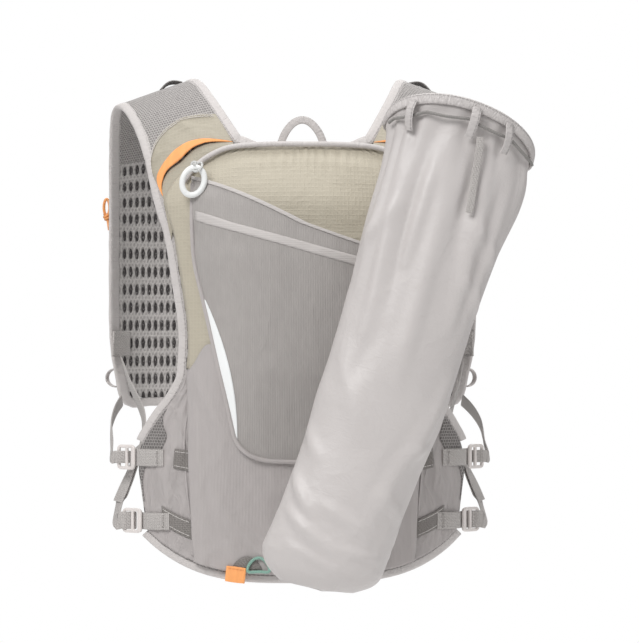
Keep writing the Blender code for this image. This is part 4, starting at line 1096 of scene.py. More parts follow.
def mouth_line(below, start=0.0, end=1.0, count=12):
    """Line that runs this share of the vest's drop below the pocket's mouth."""
    points = []
    for i in range(count + 1):
        u = mix(start, end, i / count)
        foot, mouth = stash_levels(u)
        v = (foot - mouth - mix(*below, u)) / (foot - mouth)
        left, right = stash_edges(v)
        points.append(Vector((mix(left, right, u), mix(foot, mouth, v), 0)))
    return points


# The fold along the mouth is painted pale as a highlight, in the stripe's cloth.
stash_strip("stash_fold_highlight", mouth_line((-0.003, -0.003)), mouth_line((0.0035, 0.0035)), 0.0008)
stash_strip("stash_stripe", mouth_line((0.062, 0.018), 0.02, 0.98),
            mouth_line((0.080, 0.040), 0.02, 0.98), 0.0004)
print("stash strips laid")

# %% [markdown]
# ## Wings, straps and patches
#
# Beside the bag the back ends in two thin crinkled wings, each with a net corner and two short
# bars of dark webbing that can carry gear. Net straps go over the shoulders, and a khaki patch
# covers the foot of each strap above a bright hem.

# %% Wings
WING_TOP = 0.640
WING_LIFT = PAD + LAYER_GAP
WING_SEAM = BAG_HALF_WIDTH * BAG_ROWS["half"][-3] - 0.008
WING_FOLDS = (
    (0.15, 0.80, 0.75, 0.20, 0.0018, 0.10),
    (0.30, 0.55, 0.80, 0.45, 0.0012, 0.08),
    (0.10, 0.35, 0.60, 0.10, 0.0014, 0.09),
    (0.45, 0.95, 0.55, 0.62, 0.0012, 0.07),
)


def wing_skin(side, u, v, lift=0.0):
    drop = mix(1.0, WING_TOP, v)
    x = mix(WING_SEAM, back_half(drop) - 0.0004, u)
    crease = fold_lift(u, v, WING_FOLDS)
    crease += 0.0007 * ridges(u * 0.05, v * 0.11, 41.0 + side, 0.012, 3.5)
    crease = (crease + 0.0003) * smooth_step(0, 0.1, u) * smooth_step(0, 0.1, 1 - u)
    way = back_way(x, drop)
    return on_form(side * x, way, WING_LIFT + crease + lift), (side * x, way)


def net_start(v):
    """Inner edge of the net corner, widest just above the upper lock."""
    return 0.985 - 0.34 * math.exp(-(((v - 0.585) / (0.10 if v > 0.585 else 0.17)) ** 2))


def net_place(side, u, v):
    v = mix(0.18, 0.76, v)
    return wing_skin(side, mix(net_start(v), 0.995, u), v, 0.0012)


def bar_thread(side, inner, share):
    """Line of thread across a gear bar that ends at inner."""
    def place(t, lift):
        return wing_skin(side, mix(0.20, inner - 0.02, t), share, 0.0023 + lift)[0]

    return place


def wing_seam_place(side, u, v):
    u = mix(0.36, 0.40, u) - 0.22 * smooth_step(0.0, 1.0, 1 - v)
    return wing_skin(side, u, mix(0.03, 0.95, v), 0.0011)


for word, side in SIDES:
    panel(f"crinkled_wing_{word}", lambda u, v: wing_skin(side, u, v), 36, 70, 0.0010,
          "crinkle_cloth", "stretch_weave", (f"wing_{word}",), flip=side < 0)
    for level, low, high, inner in (("upper", 0.450, 0.550, 0.44), ("lower", 0.122, 0.220, 0.66)):
        panel(f"gear_bar_{level}_{word}",
              lambda u, v: wing_skin(side, mix(0.02, inner, u), mix(low, high, v), 0.0014),
              16, 12, 0.0008, "dark_webbing", "dark_webbing", flip=side < 0)
        for row, share in (("low", mix(low, high, 0.14)), ("high", mix(low, high, 0.86))):
            stitches(f"bar_stitches_{level}_{row}_{word}", bar_thread(side, inner, share),
                     0.040 * (inner - 0.2))
    panel(f"net_corner_{word}", lambda u, v: net_place(side, u, v), 14, 60, 0.0004,
          "dark_net", "net", flip=side < 0)
    panel(f"wing_seam_{word}", lambda u, v: wing_seam_place(side, u, v), 3, 60, 0.0006,
          "crinkle_cloth", "stretch_weave", flip=side < 0)
print("wing pieces laid")

# %% Shoulder straps
BACK_JOIN = -way_down(VEST_DROP * BACK_TOP) + SEAM_GAP
FRONT_JOIN = way_down(FRONT_DROP * FRONT_ROWS["drop"][0]) - SEAM_GAP


def strap_edges(share):
    return BODY_HALF_WIDTH * strap_row("neck", share), BODY_HALF_WIDTH * strap_row("arm", share)


def strap_place(side):
    def place(u, v):
        neck, arm = strap_edges(v)
        x = side * mix(neck - 0.0010, arm + 0.0010, u)
        way = mix(BACK_JOIN - 0.0004, FRONT_JOIN + 0.0004, v)
        return on_form(x, way, 0.0002 * crumple(x, way, 51.0, 0.03)), (x, way)

    return place


for word, side in SIDES:
    panel(f"net_strap_{word}", strap_place(side), 24, 64, PAD, "net", "net",
          (f"shoulder_strap_{word}",), flip=side < 0)


# %% Lines over the shoulder
HEM_HIGH = (
    (0.0560, -0.0936), (0.0690, -0.0909), (0.0782, -0.0896), (0.0846, -0.0897),
    (0.0910, -0.0907), (0.0970, -0.0933), (0.1024, -0.0969), (0.1096, -0.1047),
    (0.1143, -0.1133), (0.1140, -0.1208), (0.1112, -0.1285),
)
HEM_LOW = (
    (0.0560, -0.0938), (0.0690, -0.0926), (0.0767, -0.0925), (0.0823, -0.0937),
    (0.0867, -0.0952), (0.0919, -0.0989), (0.0968, -0.1032), (0.1061, -0.1092),
    (0.1104, -0.1168), (0.1115, -0.1238), (0.1104, -0.1296),
)
PATCH_HIGH = (
    (0.0690, -0.0685), (0.0790, -0.0660), (0.0880, -0.0650), (0.0936, -0.0648),
    (0.0993, -0.0661), (0.1057, -0.0696), (0.1110, -0.0740), (0.1163, -0.0813),
    (0.1196, -0.0919), (0.1201, -0.1018), (0.1182, -0.1128),
)
GUSSET_LOW = (
    (0.0545, -0.0980), (0.0625, -0.0995), (0.0705, -0.1024), (0.0769, -0.1055),
    (0.0825, -0.1095), (0.0881, -0.1151), (0.0930, -0.1240), (0.0978, -0.1330),
    (0.1009, -0.1422), (0.1025, -0.1531), (0.1041, -0.1643),
)


def even_line(points):
    """Smooth line through (x, way) points."""
    return smooth_line([(x, way, 0.0) for x, way in points], 0.0012)


def between(side, low, high, lift):
    """Place on the form between two lines, with its height from lift(u, v, x, way)."""
    low_line, high_line = even_line(low), even_line(high)

    def place(u, v):
        spot = read_line(low_line, u).lerp(read_line(high_line, u), v)
        return on_form(side * spot.x, spot.y, lift(u, v, spot.x, spot.y)), (side * spot.x, spot.y)

    return place


# %% Patches, bright hems and gussets
PATCH_FOLDS = (
    (0.30, 0.10, 0.36, 0.95, 0.0012, 0.05), (0.10, 0.45, 0.60, 0.60, 0.0010, 0.06),
    (0.55, 0.15, 0.80, 0.70, 0.0014, 0.06), (0.35, 0.80, 0.75, 0.78, 0.0008, 0.04),
)


def patch_lift(u, v, x, way):
    crease = fold_lift(u, v, PATCH_FOLDS) + 0.0006 * ridges(x, way, 61.0, 0.030, 0.8) + 0.0004
    crease *= smooth_step(0, 0.08, u) * smooth_step(0, 0.08, 1 - u) * smooth_step(0, 0.10, 1 - v)
    arch = 0.0034 * math.sin(math.pi * min(u * 1.05, 1.0)) * (1 - smooth_step(0.0, 0.7, v))
    return PAD + LAYER_GAP + crease + arch


def hem_lift_at(u, v, x, way):
    arch = 0.0038 * math.sin(math.pi * min(u * 1.05, 1.0)) * mix(0.80, 1.0, v)
    return PAD + 2 * LAYER_GAP + 0.0004 + arch


def gusset_lift(u, v, x, way):
    bulge = 0.0010 * math.sin(math.pi * v)
    return PAD + LAYER_GAP + 0.0006 + bulge + 0.0003 * crumple(x, way, 63.0, 0.02)


def patch_thread(side, v):
    """Line of thread along the patch, at one height of it."""
    rows = between(side, HEM_HIGH, PATCH_HIGH, patch_lift)

    def place(t, lift):
        u = mix(0.04, 0.96, t)
        x, way = rows(u, v)[1]
        return on_form(x, way, patch_lift(u, v, abs(x), way) + 0.0010 + lift)

    return place


for word, side in SIDES:
    # The patches and the gussets below use the ripstop painted darker as shade.
    panel(f"ripstop_patch_{word}", between(side, HEM_HIGH, PATCH_HIGH, patch_lift), 60, 26,
          0.0010, "ripstop_painted_shade", "ripstop", (f"shoulder_patch_{word}",), flip=side > 0)
    panel(f"bright_hem_{word}", between(side, HEM_LOW, HEM_HIGH, hem_lift_at), 60, 6,
          0.0012, "orange_cloth", "orange_cloth", (f"orange_hem_{word}",), flip=side > 0)
    for row, v in (("high", 0.93), ("low", 0.86)):
        stitches(f"patch_stitches_{row}_{word}", patch_thread(side, v), 0.075)
    # Gusset in the ripstop painted darker as shade.
    panel(f"bag_gusset_{word}", between(side, GUSSET_LOW, HEM_LOW, gusset_lift), 50, 16,
          0.0008, "ripstop_painted_shade", "ripstop", flip=side > 0)

# %% [markdown]
# ## Front panels and flask pockets
#
# Through the armholes the inside of the chest panels shows: an open spacer mesh with tall oval
# holes in rows. Its holes are far too many to cut, and they don't go right through, so the shade in
# them is painted as a dark pattern with a raised rim. The stretch pockets outside them bulge over a
# flask.

# %% Front
FRONT_TOP, FRONT_FOOT = FRONT_ROWS["drop"][0], 1.0


def front_edges(drop):
    return FRONT_ARM_EDGE * front_row("centre", drop), FRONT_ARM_EDGE * front_row("arm", drop)


def front_place(side):
    def place(u, v):
        drop = mix(FRONT_TOP, FRONT_FOOT, v)
        centre, arm = front_edges(drop)
        x, way = side * mix(centre - 0.0008, arm + 0.0008, u), way_down(FRONT_DROP * drop)
        return on_form(x, way), (x, way)

    return place


def pocket_place(side):
    def place(u, v):
        drop = mix(0.46, 0.90, v)
        centre, arm = front_edges(drop)
        x = mix(centre + 0.006, arm - 0.001, u)
        full = (1 - abs(2 * u - 1) ** 3) * (1 - smooth_step(0.55, 1.0, v))
        crease = 0.0012 * crumple(x, drop * FRONT_DROP, 71.0, 0.025, 1.6)
        crease += 0.0008 * ridges(x, drop * 0.25, 75.0, 0.02)
        crease *= smooth_step(0, 0.1, u) * smooth_step(0, 0.1, 1 - u) * smooth_step(0, 0.15, 1 - v)
        way = way_down(FRONT_DROP * drop)
        lift = PAD + LAYER_GAP + 0.0004 + POCKET_DEPTH * full + crease
        return on_form(side * x, way, lift), (side * x, way)

    return place


def pocket_hem_place(side):
    inner = pocket_place(side)

    def place(u, v):
        point, metres = inner(u, mix(-0.004, 0.10, v))
        outer, spot = inner(u, 0.05)
        return point + (outer - on_form(*spot)).normalized() * 0.0012, metres

    return place


for word, side in SIDES:
    panel(f"spacer_front_{word}", front_place(side), 40, 70, PAD, "spacer_mesh", "spacer_mesh",
          (f"front_panel_{word}",), flip=side < 0)
    panel(f"flask_pocket_{word}", pocket_place(side), 50, 46, 0.0011, "stretch_weave",
          "stretch_weave", (f"front_pocket_{word}",), flip=side < 0)
    panel(f"flask_hem_{word}", pocket_hem_place(side), 50, 4, 0.0007, "binding_tape",
          "binding_tape", flip=side < 0)

# %% [markdown]
# ## Bindings
#
# Every edge is wrapped in a folded stretch tape and stitched near its inner side. The tape is one
# flat oval section carried along the panel's edge. It overlaps the edge a little, as a folded tape
# does, so no slit shows between them.

# %% Bindings
TAPE_OVERLAP = 0.0010
TAPE_STEP = 0.0035
ARM_FOOT, ARM_LEAD = 0.803, 0.013


def edge_tape(name, path, outward, stands_for):
    """Folded tape along (x, way) points, lying on the side that outward picks."""
    fine = smooth_line([(*point, 0.0) for point in path], TAPE_STEP)
    rows = len(fine) - 1

    def place(u, v):
        i = round(v * rows)
        ahead = (fine[min(i + 1, rows)] - fine[max(i - 1, 0)]).normalized()
        cos, sin = math.cos(u * 2 * math.pi), math.sin(u * 2 * math.pi)
        across = math.copysign(abs(cos) ** 0.62, cos) * BINDING_WIDTH / 2
        lift = math.copysign(abs(sin) ** 0.75, sin) * BINDING_WALL / 2
        lift *= 1.0 + 0.10 * math.sin(i * 0.9 + 2 * math.sin(i * 0.23))
        beyond = SEAM_GAP - TAPE_OVERLAP + BINDING_WIDTH / 2 + across
        spot = fine[i] + Vector((ahead.y, -ahead.x, 0)) * outward * beyond
        return on_form(spot.x, spot.y, PAD / 2 + lift), (across, i * TAPE_STEP)

    grid = close_skin(cloth_grid(place, 18, rows))
    keep(grid, name, "binding_tape", "binding_tape", stands_for)


def strap_line(which):
    shares = [i / 12 for i in range(13)]
    return [(strap_edges(share)[which], mix(BACK_JOIN, FRONT_JOIN, share)) for share in shares]


def front_line(which):
    rows = [mix(FRONT_TOP, FRONT_FOOT, i / 10) for i in range(1, 11)]
    return [(front_edges(drop)[which], way_down(FRONT_DROP * drop)) for drop in rows]


neck_half = strap_edges(0.0)[0]
neck_route = [(neck_half * i / 14, BACK_JOIN - neck_dip(neck_half * i / 14)) for i in range(14)]
neck_route += strap_line(0) + front_line(0)
levels = [mix(BACK_TOP, BACK_FOOT, i / 20) for i in range(21)]
arm_levels = [ARM_FOOT] + [drop for drop in reversed(levels) if drop <= ARM_FOOT - ARM_LEAD]
arm_route = [(back_half(drop), -way_down(VEST_DROP * drop)) for drop in arm_levels]
arm_route += strap_line(1) + front_line(1)
centre, arm = front_edges(1.0)
arm_route += [(mix(arm, centre + 0.001, i / 5), way_down(FRONT_DROP)) for i in range(1, 6)]
for word, side in SIDES:
    for edge, route, outward in (("neck", neck_route, -side), ("arm", arm_route, side)):
        edge_tape(f"{edge}_tape_{word}", [(side * x, way) for x, way in route], outward,
                  (f"{edge}_binding_{word}",))
half = back_half(1.0)
hem_x = [half * math.sin(math.pi / 2 * i / 12) for i in range(-12, 13)]
edge_tape("hem_tape", [(x, back_way(x, 1.0)) for x in hem_x], 1, ("hem_binding",))
neck_length = sum(math.dist(p, q) for p, q in zip(neck_route, neck_route[1:]))
print("tape along the neck:", round(neck_length * 1000), "mm")

# %% [markdown]
# ## Piping, haul loop and pull ring
#
# A round piping runs over the bag's upper edge and ends at a soft white pull ring, tied on with a
# knotted cord. In the middle of the neck edge stands a flat loop of folded tape.

# %% Piping and haul loop
PIPING_RADIUS = 0.0022
PIPING_END = (0.765, 0.198)
PIPING_ROWS = (
    (0.84, 0.226), PIPING_END, (0.64, 0.177), (0.50, 0.168), (0.25, 0.167), (0.0, 0.167),
)


def over_bag(x_share, drop, lift):
    x = x_share * BAG_HALF_WIDTH
    return on_back(x, drop, bag_lift(x, drop) + CLOTH + BAG_GAP + lift)


piping_rows = [(-x, drop) for x, drop in PIPING_ROWS] + list(reversed(PIPING_ROWS[:-1]))
piping_line = smooth_line([over_bag(x, drop, PIPING_RADIUS) for x, drop in piping_rows], 0.003)
cord("top_piping", piping_line, PIPING_RADIUS, "binding_tape", "binding_tape",
     ("bag_piping",), around=16)
print("piping:", round(line_length(piping_line) * 1000), "mm")

HAUL_HALF_SPAN, HAUL_HEIGHT, HAUL_BAND, HAUL_WALL = 0.0172, 0.0205, 0.0062, 0.0026
foot = on_form(0.0, BACK_JOIN - neck_dip(0.0) + BINDING_WIDTH, PAD / 2)
route = []
for i in range(25):
    turn = math.pi * i / 24
    x = -HAUL_HALF_SPAN * math.cos(turn) * (1 - 0.1 * math.sin(turn))
    z = (HAUL_HEIGHT - HAUL_BAND / 2) * math.sin(turn) ** 1.25
    route.append((x - 0.0009, foot.y, foot.z + z - 0.003 * (1 - math.sin(turn))))
strap("haul_tape", route, lambda point, i: (0, -1, 0), HAUL_BAND, HAUL_WALL, "binding_tape",
      "binding_tape", ("haul_loop",))

# %% Pull ring and its cord
RING_HALF_WIDTH, RING_HALF_HEIGHT, RING_TUBE, RING_CORD_RADIUS = 0.0085, 0.0112, 0.0024, 0.0011
RING_SHARE, RING_DROP = -0.758, 0.235
ring_x = RING_SHARE * BAG_HALF_WIDTH
ring_lift = bag_lift(ring_x, RING_DROP) + 4 * CLOTH + 2 * RING_TUBE + 0.004
ring_middle = on_back(ring_x, RING_DROP, ring_lift)
droop = Vector((0, 0, 1)).rotation_difference(Vector((0.35, 0, 1)))


def ring_point(turn):
    spot = Vector((RING_HALF_WIDTH * math.cos(turn), 0, RING_HALF_HEIGHT * math.sin(turn)))
    spot.rotate(droop)
    return ring_middle + spot


cord("pull_ring", round_points(48, ring_point), RING_TUBE, "ring_rubber", "ring_rubber",
     ("zip_ring",), closed=True, around=20)


def knot(name, middle, way, radius, thick, finish, turns=2.6, length=0.0055):
    """Cord wound on itself round a line, with its ends tucked in."""
    way = Vector(way).normalized()
    first = way.orthogonal().normalized()
    second = way.cross(first)
    points = []
    steps = round(turns * 16)
    for i in range(steps + 1):
        share = i / steps
        turn = share * turns * 2 * math.pi
        wide = radius * math.sin(math.pi * mix(0.16, 0.84, share))
        around = (first * math.cos(turn) + second * math.sin(turn)) * wide
        points.append(Vector(middle) + way * (share - 0.5) * length + around)
    return cord(name, points, thick, finish, "grey_cord")


tip = ring_middle + Vector((0.0007, -0.0006, RING_HALF_HEIGHT - 0.0004))
start = over_bag(-PIPING_END[0], PIPING_END[1], 2 * PIPING_RADIUS + RING_CORD_RADIUS)
route = [start, start.lerp(tip, 0.5) + Vector((0, -0.001, 0.002)),
         tip + Vector((0, -0.0022, 0.0022))]
cord("ring_tie", smooth_line(route, 0.0012), RING_CORD_RADIUS, "white_cord", "grey_cord",
     ("ring_cord",))
knot("ring_knot", start.lerp(tip, 0.55) + Vector((0, -0.0014, 0.0012)), tip - start,
     0.0024, 0.0011, "white_cord")

SLING_ROUND = 0.0036


def sling_point(turn):
    rise = RING_HALF_HEIGHT + SLING_ROUND * math.sin(turn + 0.6)
    spot = (SLING_ROUND + 0.0034 * math.cos(turn), SLING_ROUND * math.sin(turn), rise)
    return ring_middle + Vector(spot)


cord("ring_sling", round_points(24, sling_point), 0.0010, "white_cord", "grey_cord", closed=True)
print("ring pieces made")

# %% [markdown]
# ## Quiver
#
# The quiver is a long tube of thin coated cloth on a hoop. It is a lofted shell: a ring of points
# for each height, wide or narrow as the real outline is, with its foot drawn in to a flat base.
# Under the hoop a cord gathers it, so pleats run down from there and fade. The long soft folds are
# written as lines on the shell, and the seam lies on the inner side, out of sight.

# %% Shape of the quiver
QUIVER_LENGTH = 0.362
QUIVER_TILT, QUIVER_LEAN = math.radians(16.7), math.radians(2.5)
QUIVER_FOOT = Vector((0.0085, -0.1800, -0.3975))
QUIVER_HALF_WIDTH, QUIVER_HALF_DEPTH, QUIVER_WALL = 0.0545, 0.0330, 0.0016
RIM_ARCH, RIM_WIDTH, RIM_WALL = 0.0265, 0.0085, 0.0032
QUIVER_ROWS = {
    "along": (0.0, 0.02, 0.055, 0.10, 0.20, 0.30, 0.40, 0.50, 0.65, 0.80, 0.90, 0.95, 1.0),
    "left": (0.66, 0.92, 1.04, 0.99, 0.94, 0.88, 0.90, 0.89, 0.90, 0.94, 0.96, 0.99, 1.05),
    "right": (0.48, 0.70, 0.79, 0.81, 0.84, 0.90, 1.00, 1.01, 1.02, 1.09, 1.22, 1.24, 1.16),
    "depth": (0.40, 0.72, 0.88, 0.96, 1.0, 1.0, 1.0, 1.0, 1.0, 1.0, 1.0, 1.0, 1.02),
}
quiver_row = smooth_rows(QUIVER_ROWS)
QUIVER_UP = Vector((
    math.sin(QUIVER_TILT) * math.cos(QUIVER_LEAN),
    math.sin(QUIVER_LEAN),
    math.cos(QUIVER_TILT) * math.cos(QUIVER_LEAN),
))
QUIVER_ACROSS = Vector((math.cos(QUIVER_TILT), 0, -math.sin(QUIVER_TILT)))
QUIVER_NEAR = QUIVER_ACROSS.cross(QUIVER_UP)
GIRTH_RADIUS = 0.045
QUIVER_FOLDS = (
    (150, 0.338, 152, 0.23, 0.0016, 0.0050), (134, 0.338, 126, 0.20, 0.0024, 0.0055),
    (119, 0.338, 110, 0.22, -0.0016, 0.0050), (104, 0.338, 106, 0.26, 0.0022, 0.0050),
    (88, 0.338, 82, 0.17, 0.0026, 0.0065), (74, 0.338, 66, 0.27, -0.0018, 0.0050),
    (61, 0.338, 47, 0.22, 0.0026, 0.0060), (46, 0.338, 40, 0.25, -0.0014, 0.0050),
    (36, 0.338, 30, 0.21, 0.0020, 0.0060), (62, 0.300, 18, 0.276, 0.0026, 0.0060),
    (52, 0.262, 10, 0.240, 0.0020, 0.0055), (126, 0.300, 168, 0.262, 0.0020, 0.0060),
    (150, 0.190, 96, 0.120, 0.0016, 0.0090), (38, 0.160, 66, 0.060, 0.0018, 0.0080),
    (110, 0.215, 130, 0.150, -0.0012, 0.0080), (22, 0.200, 44, 0.110, 0.0016, 0.0070),
    (168, 0.085, 118, 0.052, 0.0024, 0.0050), (158, 0.056, 92, 0.030, 0.0022, 0.0045),
    (122, 0.066, 58, 0.048, 0.0018, 0.0050), (96, 0.034, 36, 0.034, 0.0018, 0.0040),
    (172, 0.120, 132, 0.096, 0.0018, 0.0060), (70, 0.085, 20, 0.070, 0.0016, 0.0060),
    (140, 0.028, 70, 0.014, 0.0016, 0.0040), (20, 0.130, 50, 0.120, 0.0014, 0.0050),
)
quiver_folds = [
    (math.radians(t0) * GIRTH_RADIUS, up0, math.radians(t1) * GIRTH_RADIUS, up1, height, half)
    for t0, up0, t1, up1, height, half in QUIVER_FOLDS
]


def mouth_arch(turn):
    near = math.sin(turn)
    return RIM_ARCH * (near if near > 0 else 0.30 * near)


def quiver_point(turn, along, lift=0.0):
    """Point on the quiver: turn 0 at its right, a quarter turn on its outer side."""
    share = min(max(along / QUIVER_LENGTH, 0.0), 1.0)
    sideways = 0.5 + 0.5 * math.cos(turn)
    to_right = smooth_step(0.30, 0.70, sideways)
    edge = mix(quiver_row("left", share), quiver_row("right", share), to_right)
    half = QUIVER_HALF_WIDTH * edge + lift
    deep = QUIVER_HALF_DEPTH * quiver_row("depth", share) + lift
    up = along + mouth_arch(turn) * smooth_step(0.72, 1.0, share)
    up += 0.0065 * sideways**1.5 * (1 - smooth_step(0.0, 0.10, share))
    flat = QUIVER_ACROSS * (half * math.cos(turn)) + QUIVER_NEAR * (deep * math.sin(turn))
    return QUIVER_FOOT + flat + QUIVER_UP * up


def quiver_crease(turn, along):
    share = min(along / QUIVER_LENGTH, 1.0)
    a = turn * GIRTH_RADIUS
    gather = smooth_step(0.78, 0.965, share) * (1 - 0.7 * smooth_step(0.985, 1.0, share))
    pleat = 0.0010 * math.sin(turn * 19 + 1.6 * math.sin(turn * 5)) * gather - 0.0020 * gather
    loose = 0.0012 * crumple(a, along, 81.0, 0.070, 2.2)
    loose += 0.0003 * ridges(a, along, 83.0, 0.060, 1.8)
    loose += 0.0006 * ridges(a, along, 87.0, 0.034, 0.6) * (1 - smooth_step(0.05, 0.30, share))
    quiet = smooth_step(0.0, 0.05, share)
    return (1.5 * fold_lift(a, along, quiver_folds) + loose) * quiet + pleat - 0.0012


# %% Cloth of the quiver
FOOT_ROWS, TUBE_ROWS, ROUND = 8, 150, 144
CLOTH_IN_BAND = 0.0060


def quiver_place(u, v):
    """Rows from the middle of the foot out to its edge, then up the tube to the hoop."""
    turn = u * 2 * math.pi - math.pi / 2
    row = round(v * (FOOT_ROWS + TUBE_ROWS))
    if row < FOOT_ROWS:
        reach = row / FOOT_ROWS
        point = QUIVER_FOOT.lerp(quiver_point(turn, 0.0, -QUIVER_WALL), reach)
        point += QUIVER_UP * 0.0022 * (1 - reach**2) * (1 + 0.5 * math.sin(turn * 3))
        return point, (turn * GIRTH_RADIUS, (reach - 1) * 0.03)
    along = (QUIVER_LENGTH + CLOTH_IN_BAND) * ((row - FOOT_ROWS) / TUBE_ROWS) ** 1.1
    point = quiver_point(turn, along, quiver_crease(turn, along) - QUIVER_WALL)
    return point, (turn * GIRTH_RADIUS, along)


cloth = close_skin(cloth_grid(quiver_place, ROUND, FOOT_ROWS + TUBE_ROWS), capped=False)
quiver_cloth = keep(cloth, "quiver_cloth", "coated_cloth", "coated_cloth",
                    ("quiver_base", "quiver_tube"), wall=QUIVER_WALL * 0.8, angle=180)
print("quiver faces:", len(quiver_cloth.data.polygons))


# %% Hoop band
def rim_pattern(tree):
    row = use_group(tree, "stitch_row", Offset=0.0026, Pitch=0.0030, Thread=0.0006)["Mask"]
    pull = use_group(tree, "creases", Size=0.007, Stretch=0.4, Sharpness=1.2)["Height"]
    weave = use_group(tree, "thread_weave", Across=0.0006, Along=0.0006)["Height"]
    height = times_plus(tree, row, -1.0, times(tree, pull, 0.6))
    tone = times_plus(tree, row, -0.5, times_plus(tree, weave, 0.15, 0.65))
    return height, tone


finishes["rim_band"] = finish_of("rim_band", shade(QUIVER_GREY, 1.02), shade(QUIVER_GREY, 0.66),
                                 0.45, 0.0, rim_pattern, 0.0007)
HOOP_POINTS = 120
rim_height = QUIVER_LENGTH + 2 * SEAM_GAP + RIM_WIDTH / 2
hoop = round_points(HOOP_POINTS,
                    lambda turn: quiver_point(turn - math.pi / 2, rim_height, -0.0004))
hoop_out = round_points(HOOP_POINTS, lambda turn: QUIVER_ACROSS * math.cos(turn - math.pi / 2)
                        + QUIVER_NEAR * math.sin(turn - math.pi / 2))
sides, ups = frames_of(hoop, lambda point, i: hoop_out[i], closed=True)
band = carried(hoop, sides, ups, flat_outline(RIM_WIDTH, RIM_WALL, 3.2), 24, closed=True)
keep(band, "quiver_hoop_band", "rim_band", "coated_cloth", ("quiver_rim",))

# %% Drawcord, loops and tail
DRAWCORD_RADIUS = 0.0013
LOOP_TURNS = (("left", 134), ("middle", 84), ("right", 58))
LOOP_STEPS = (
    (-0.018, 0.35), (-0.013, 0.85), (-0.009, 1.0), (-0.004, 1.0), (0.0008, 0.72), (0.0042, 0.60),
)
draw_line = []
for i in range(61):
    degrees = mix(20, 160, i / 60)
    sag = 0.0020 * abs(math.sin(math.radians(degrees - 22) * 180 / 33))
    draw_line.append(quiver_point(math.radians(degrees), QUIVER_LENGTH - 0.006 - sag,
                                  DRAWCORD_RADIUS + LAYER_GAP))
cord("quiver_draw_cord", draw_line, DRAWCORD_RADIUS, "grey_cord", "grey_cord", ("quiver_drawcord",))

over_cord = 2 * DRAWCORD_RADIUS + 2 * LAYER_GAP + SEAM_GAP + WEBBING / 2
for word, degrees in LOOP_TURNS:
    turn = math.radians(degrees)
    route = [quiver_point(turn, QUIVER_LENGTH + up, over_cord * lift) for up, lift in LOOP_STEPS]
    outward = quiver_point(turn, QUIVER_LENGTH, 0.01) - quiver_point(turn, QUIVER_LENGTH)
    strap(f"belt_loop_{word}", route, lambda point, i: outward, 0.0074, 0.0013, "rim_band",
          "coated_cloth", (f"quiver_loop_{word}",), spacing=0.0015)
TAIL_TURN, TAIL_LENGTH, TAIL_STEPS = math.radians(77), 0.044, 8
start = QUIVER_LENGTH - 0.015
route = [quiver_point(TAIL_TURN - 0.018 * i, start - TAIL_LENGTH * i / TAIL_STEPS,
                      0.0026 + 0.0006 * math.sin(i * 1.1)) for i in range(TAIL_STEPS + 1)]
outward = quiver_point(TAIL_TURN, start, 0.01) - quiver_point(TAIL_TURN, start)
strap("webbing_tail", route, lambda point, i: outward, 0.0060, 0.0014, "webbing", "coated_cloth",
      ("quiver_tail",), spacing=0.002)

# %% Hangers behind the quiver
far = math.radians(270)
HANGER_X, HANGER_WAY = 0.709 * BODY_HALF_WIDTH, -0.050
HANGER_CORD_RADIUS = 0.0015
lift = PAD + CLOTH + 2 * LAYER_GAP + WEBBING / 2
start = on_form(HANGER_X, HANGER_WAY, lift)
end = quiver_point(far, QUIVER_LENGTH * 0.90, WEBBING / 2 + 2 * LAYER_GAP)
bridge = on_form(HANGER_X, HANGER_WAY - 0.010, lift).lerp(end + QUIVER_UP * 0.020, 0.5)
route = [start, on_form(HANGER_X, HANGER_WAY - 0.008, lift + 0.001), bridge + Vector((0, 0, 0.004)),
         end + QUIVER_UP * 0.014 - QUIVER_NEAR * 0.0030, end, end - QUIVER_UP * 0.012]
hanger_start, hanger_end = start, end


def hanger_facing(point, i):
    share = (point.y - hanger_start.y) / (hanger_end.y - hanger_start.y)
    return Vector((0, -0.4, 1.0)).lerp(QUIVER_NEAR, smooth_step(0.6, 1.0, share))


strap("hanger_strap", route, hanger_facing, 0.0100, WEBBING, "webbing", "webbing",
      ("quiver_hanger_upper",))
start = on_form(-0.006, -way_down(0.374), PAD + BAG_GAP + 2 * CLOTH + 2 * LAYER_GAP + 0.0019)
end = quiver_point(far, 0.030, 2 * LAYER_GAP)
route = [start, start.lerp(end, 0.5) - Vector((0, 0, 0.006)), end]
hanger_line = smooth_line(route, 0.002)
cord("hanger_cord", hanger_line, HANGER_CORD_RADIUS, "grey_cord", "grey_cord",
     ("quiver_hanger_lower",))

# %% [markdown]
# ## Ladder locks and side straps
#
# At each side two webbing straps run from the front panel to plastic ladder locks on the wings. A
# lock is a plate with two slots, so it starts as a flat grid with two faces taken out, gets its
# wall from Solidify and its worn edges from Bevel. A strap keeps its width turned one way, also
# where it goes through a slot and back, so it can't twist.

# %% Ladder locks
LOCK_LENGTH = LOCK_HEIGHT = 0.0200
LOCK_WALL, LOCK_RAIL, LOCK_LIFT = 0.0030, 0.0026, 0.0010
LOCK_PLACES = {"upper": (0.873, 0.837), "lower": (0.845, 0.980)}


def on_girth(angle, height, lift=0.0):
    def girth_point(at):
        cos, sin = math.cos(at), math.sin(at)
        x = math.copysign(BODY_HALF_WIDTH * abs(cos) ** (2 / BODY_SQUARENESS), cos)
        y = math.copysign(BODY_HALF_DEPTH * abs(sin) ** (2 / BODY_SQUARENESS), sin)
        return Vector((x, y, height))

    point = girth_point(angle)
    tangent = girth_point(angle + 0.01) - girth_point(angle - 0.01)
    return point + Vector((tangent.y, -tangent.x, 0)).normalized() * lift


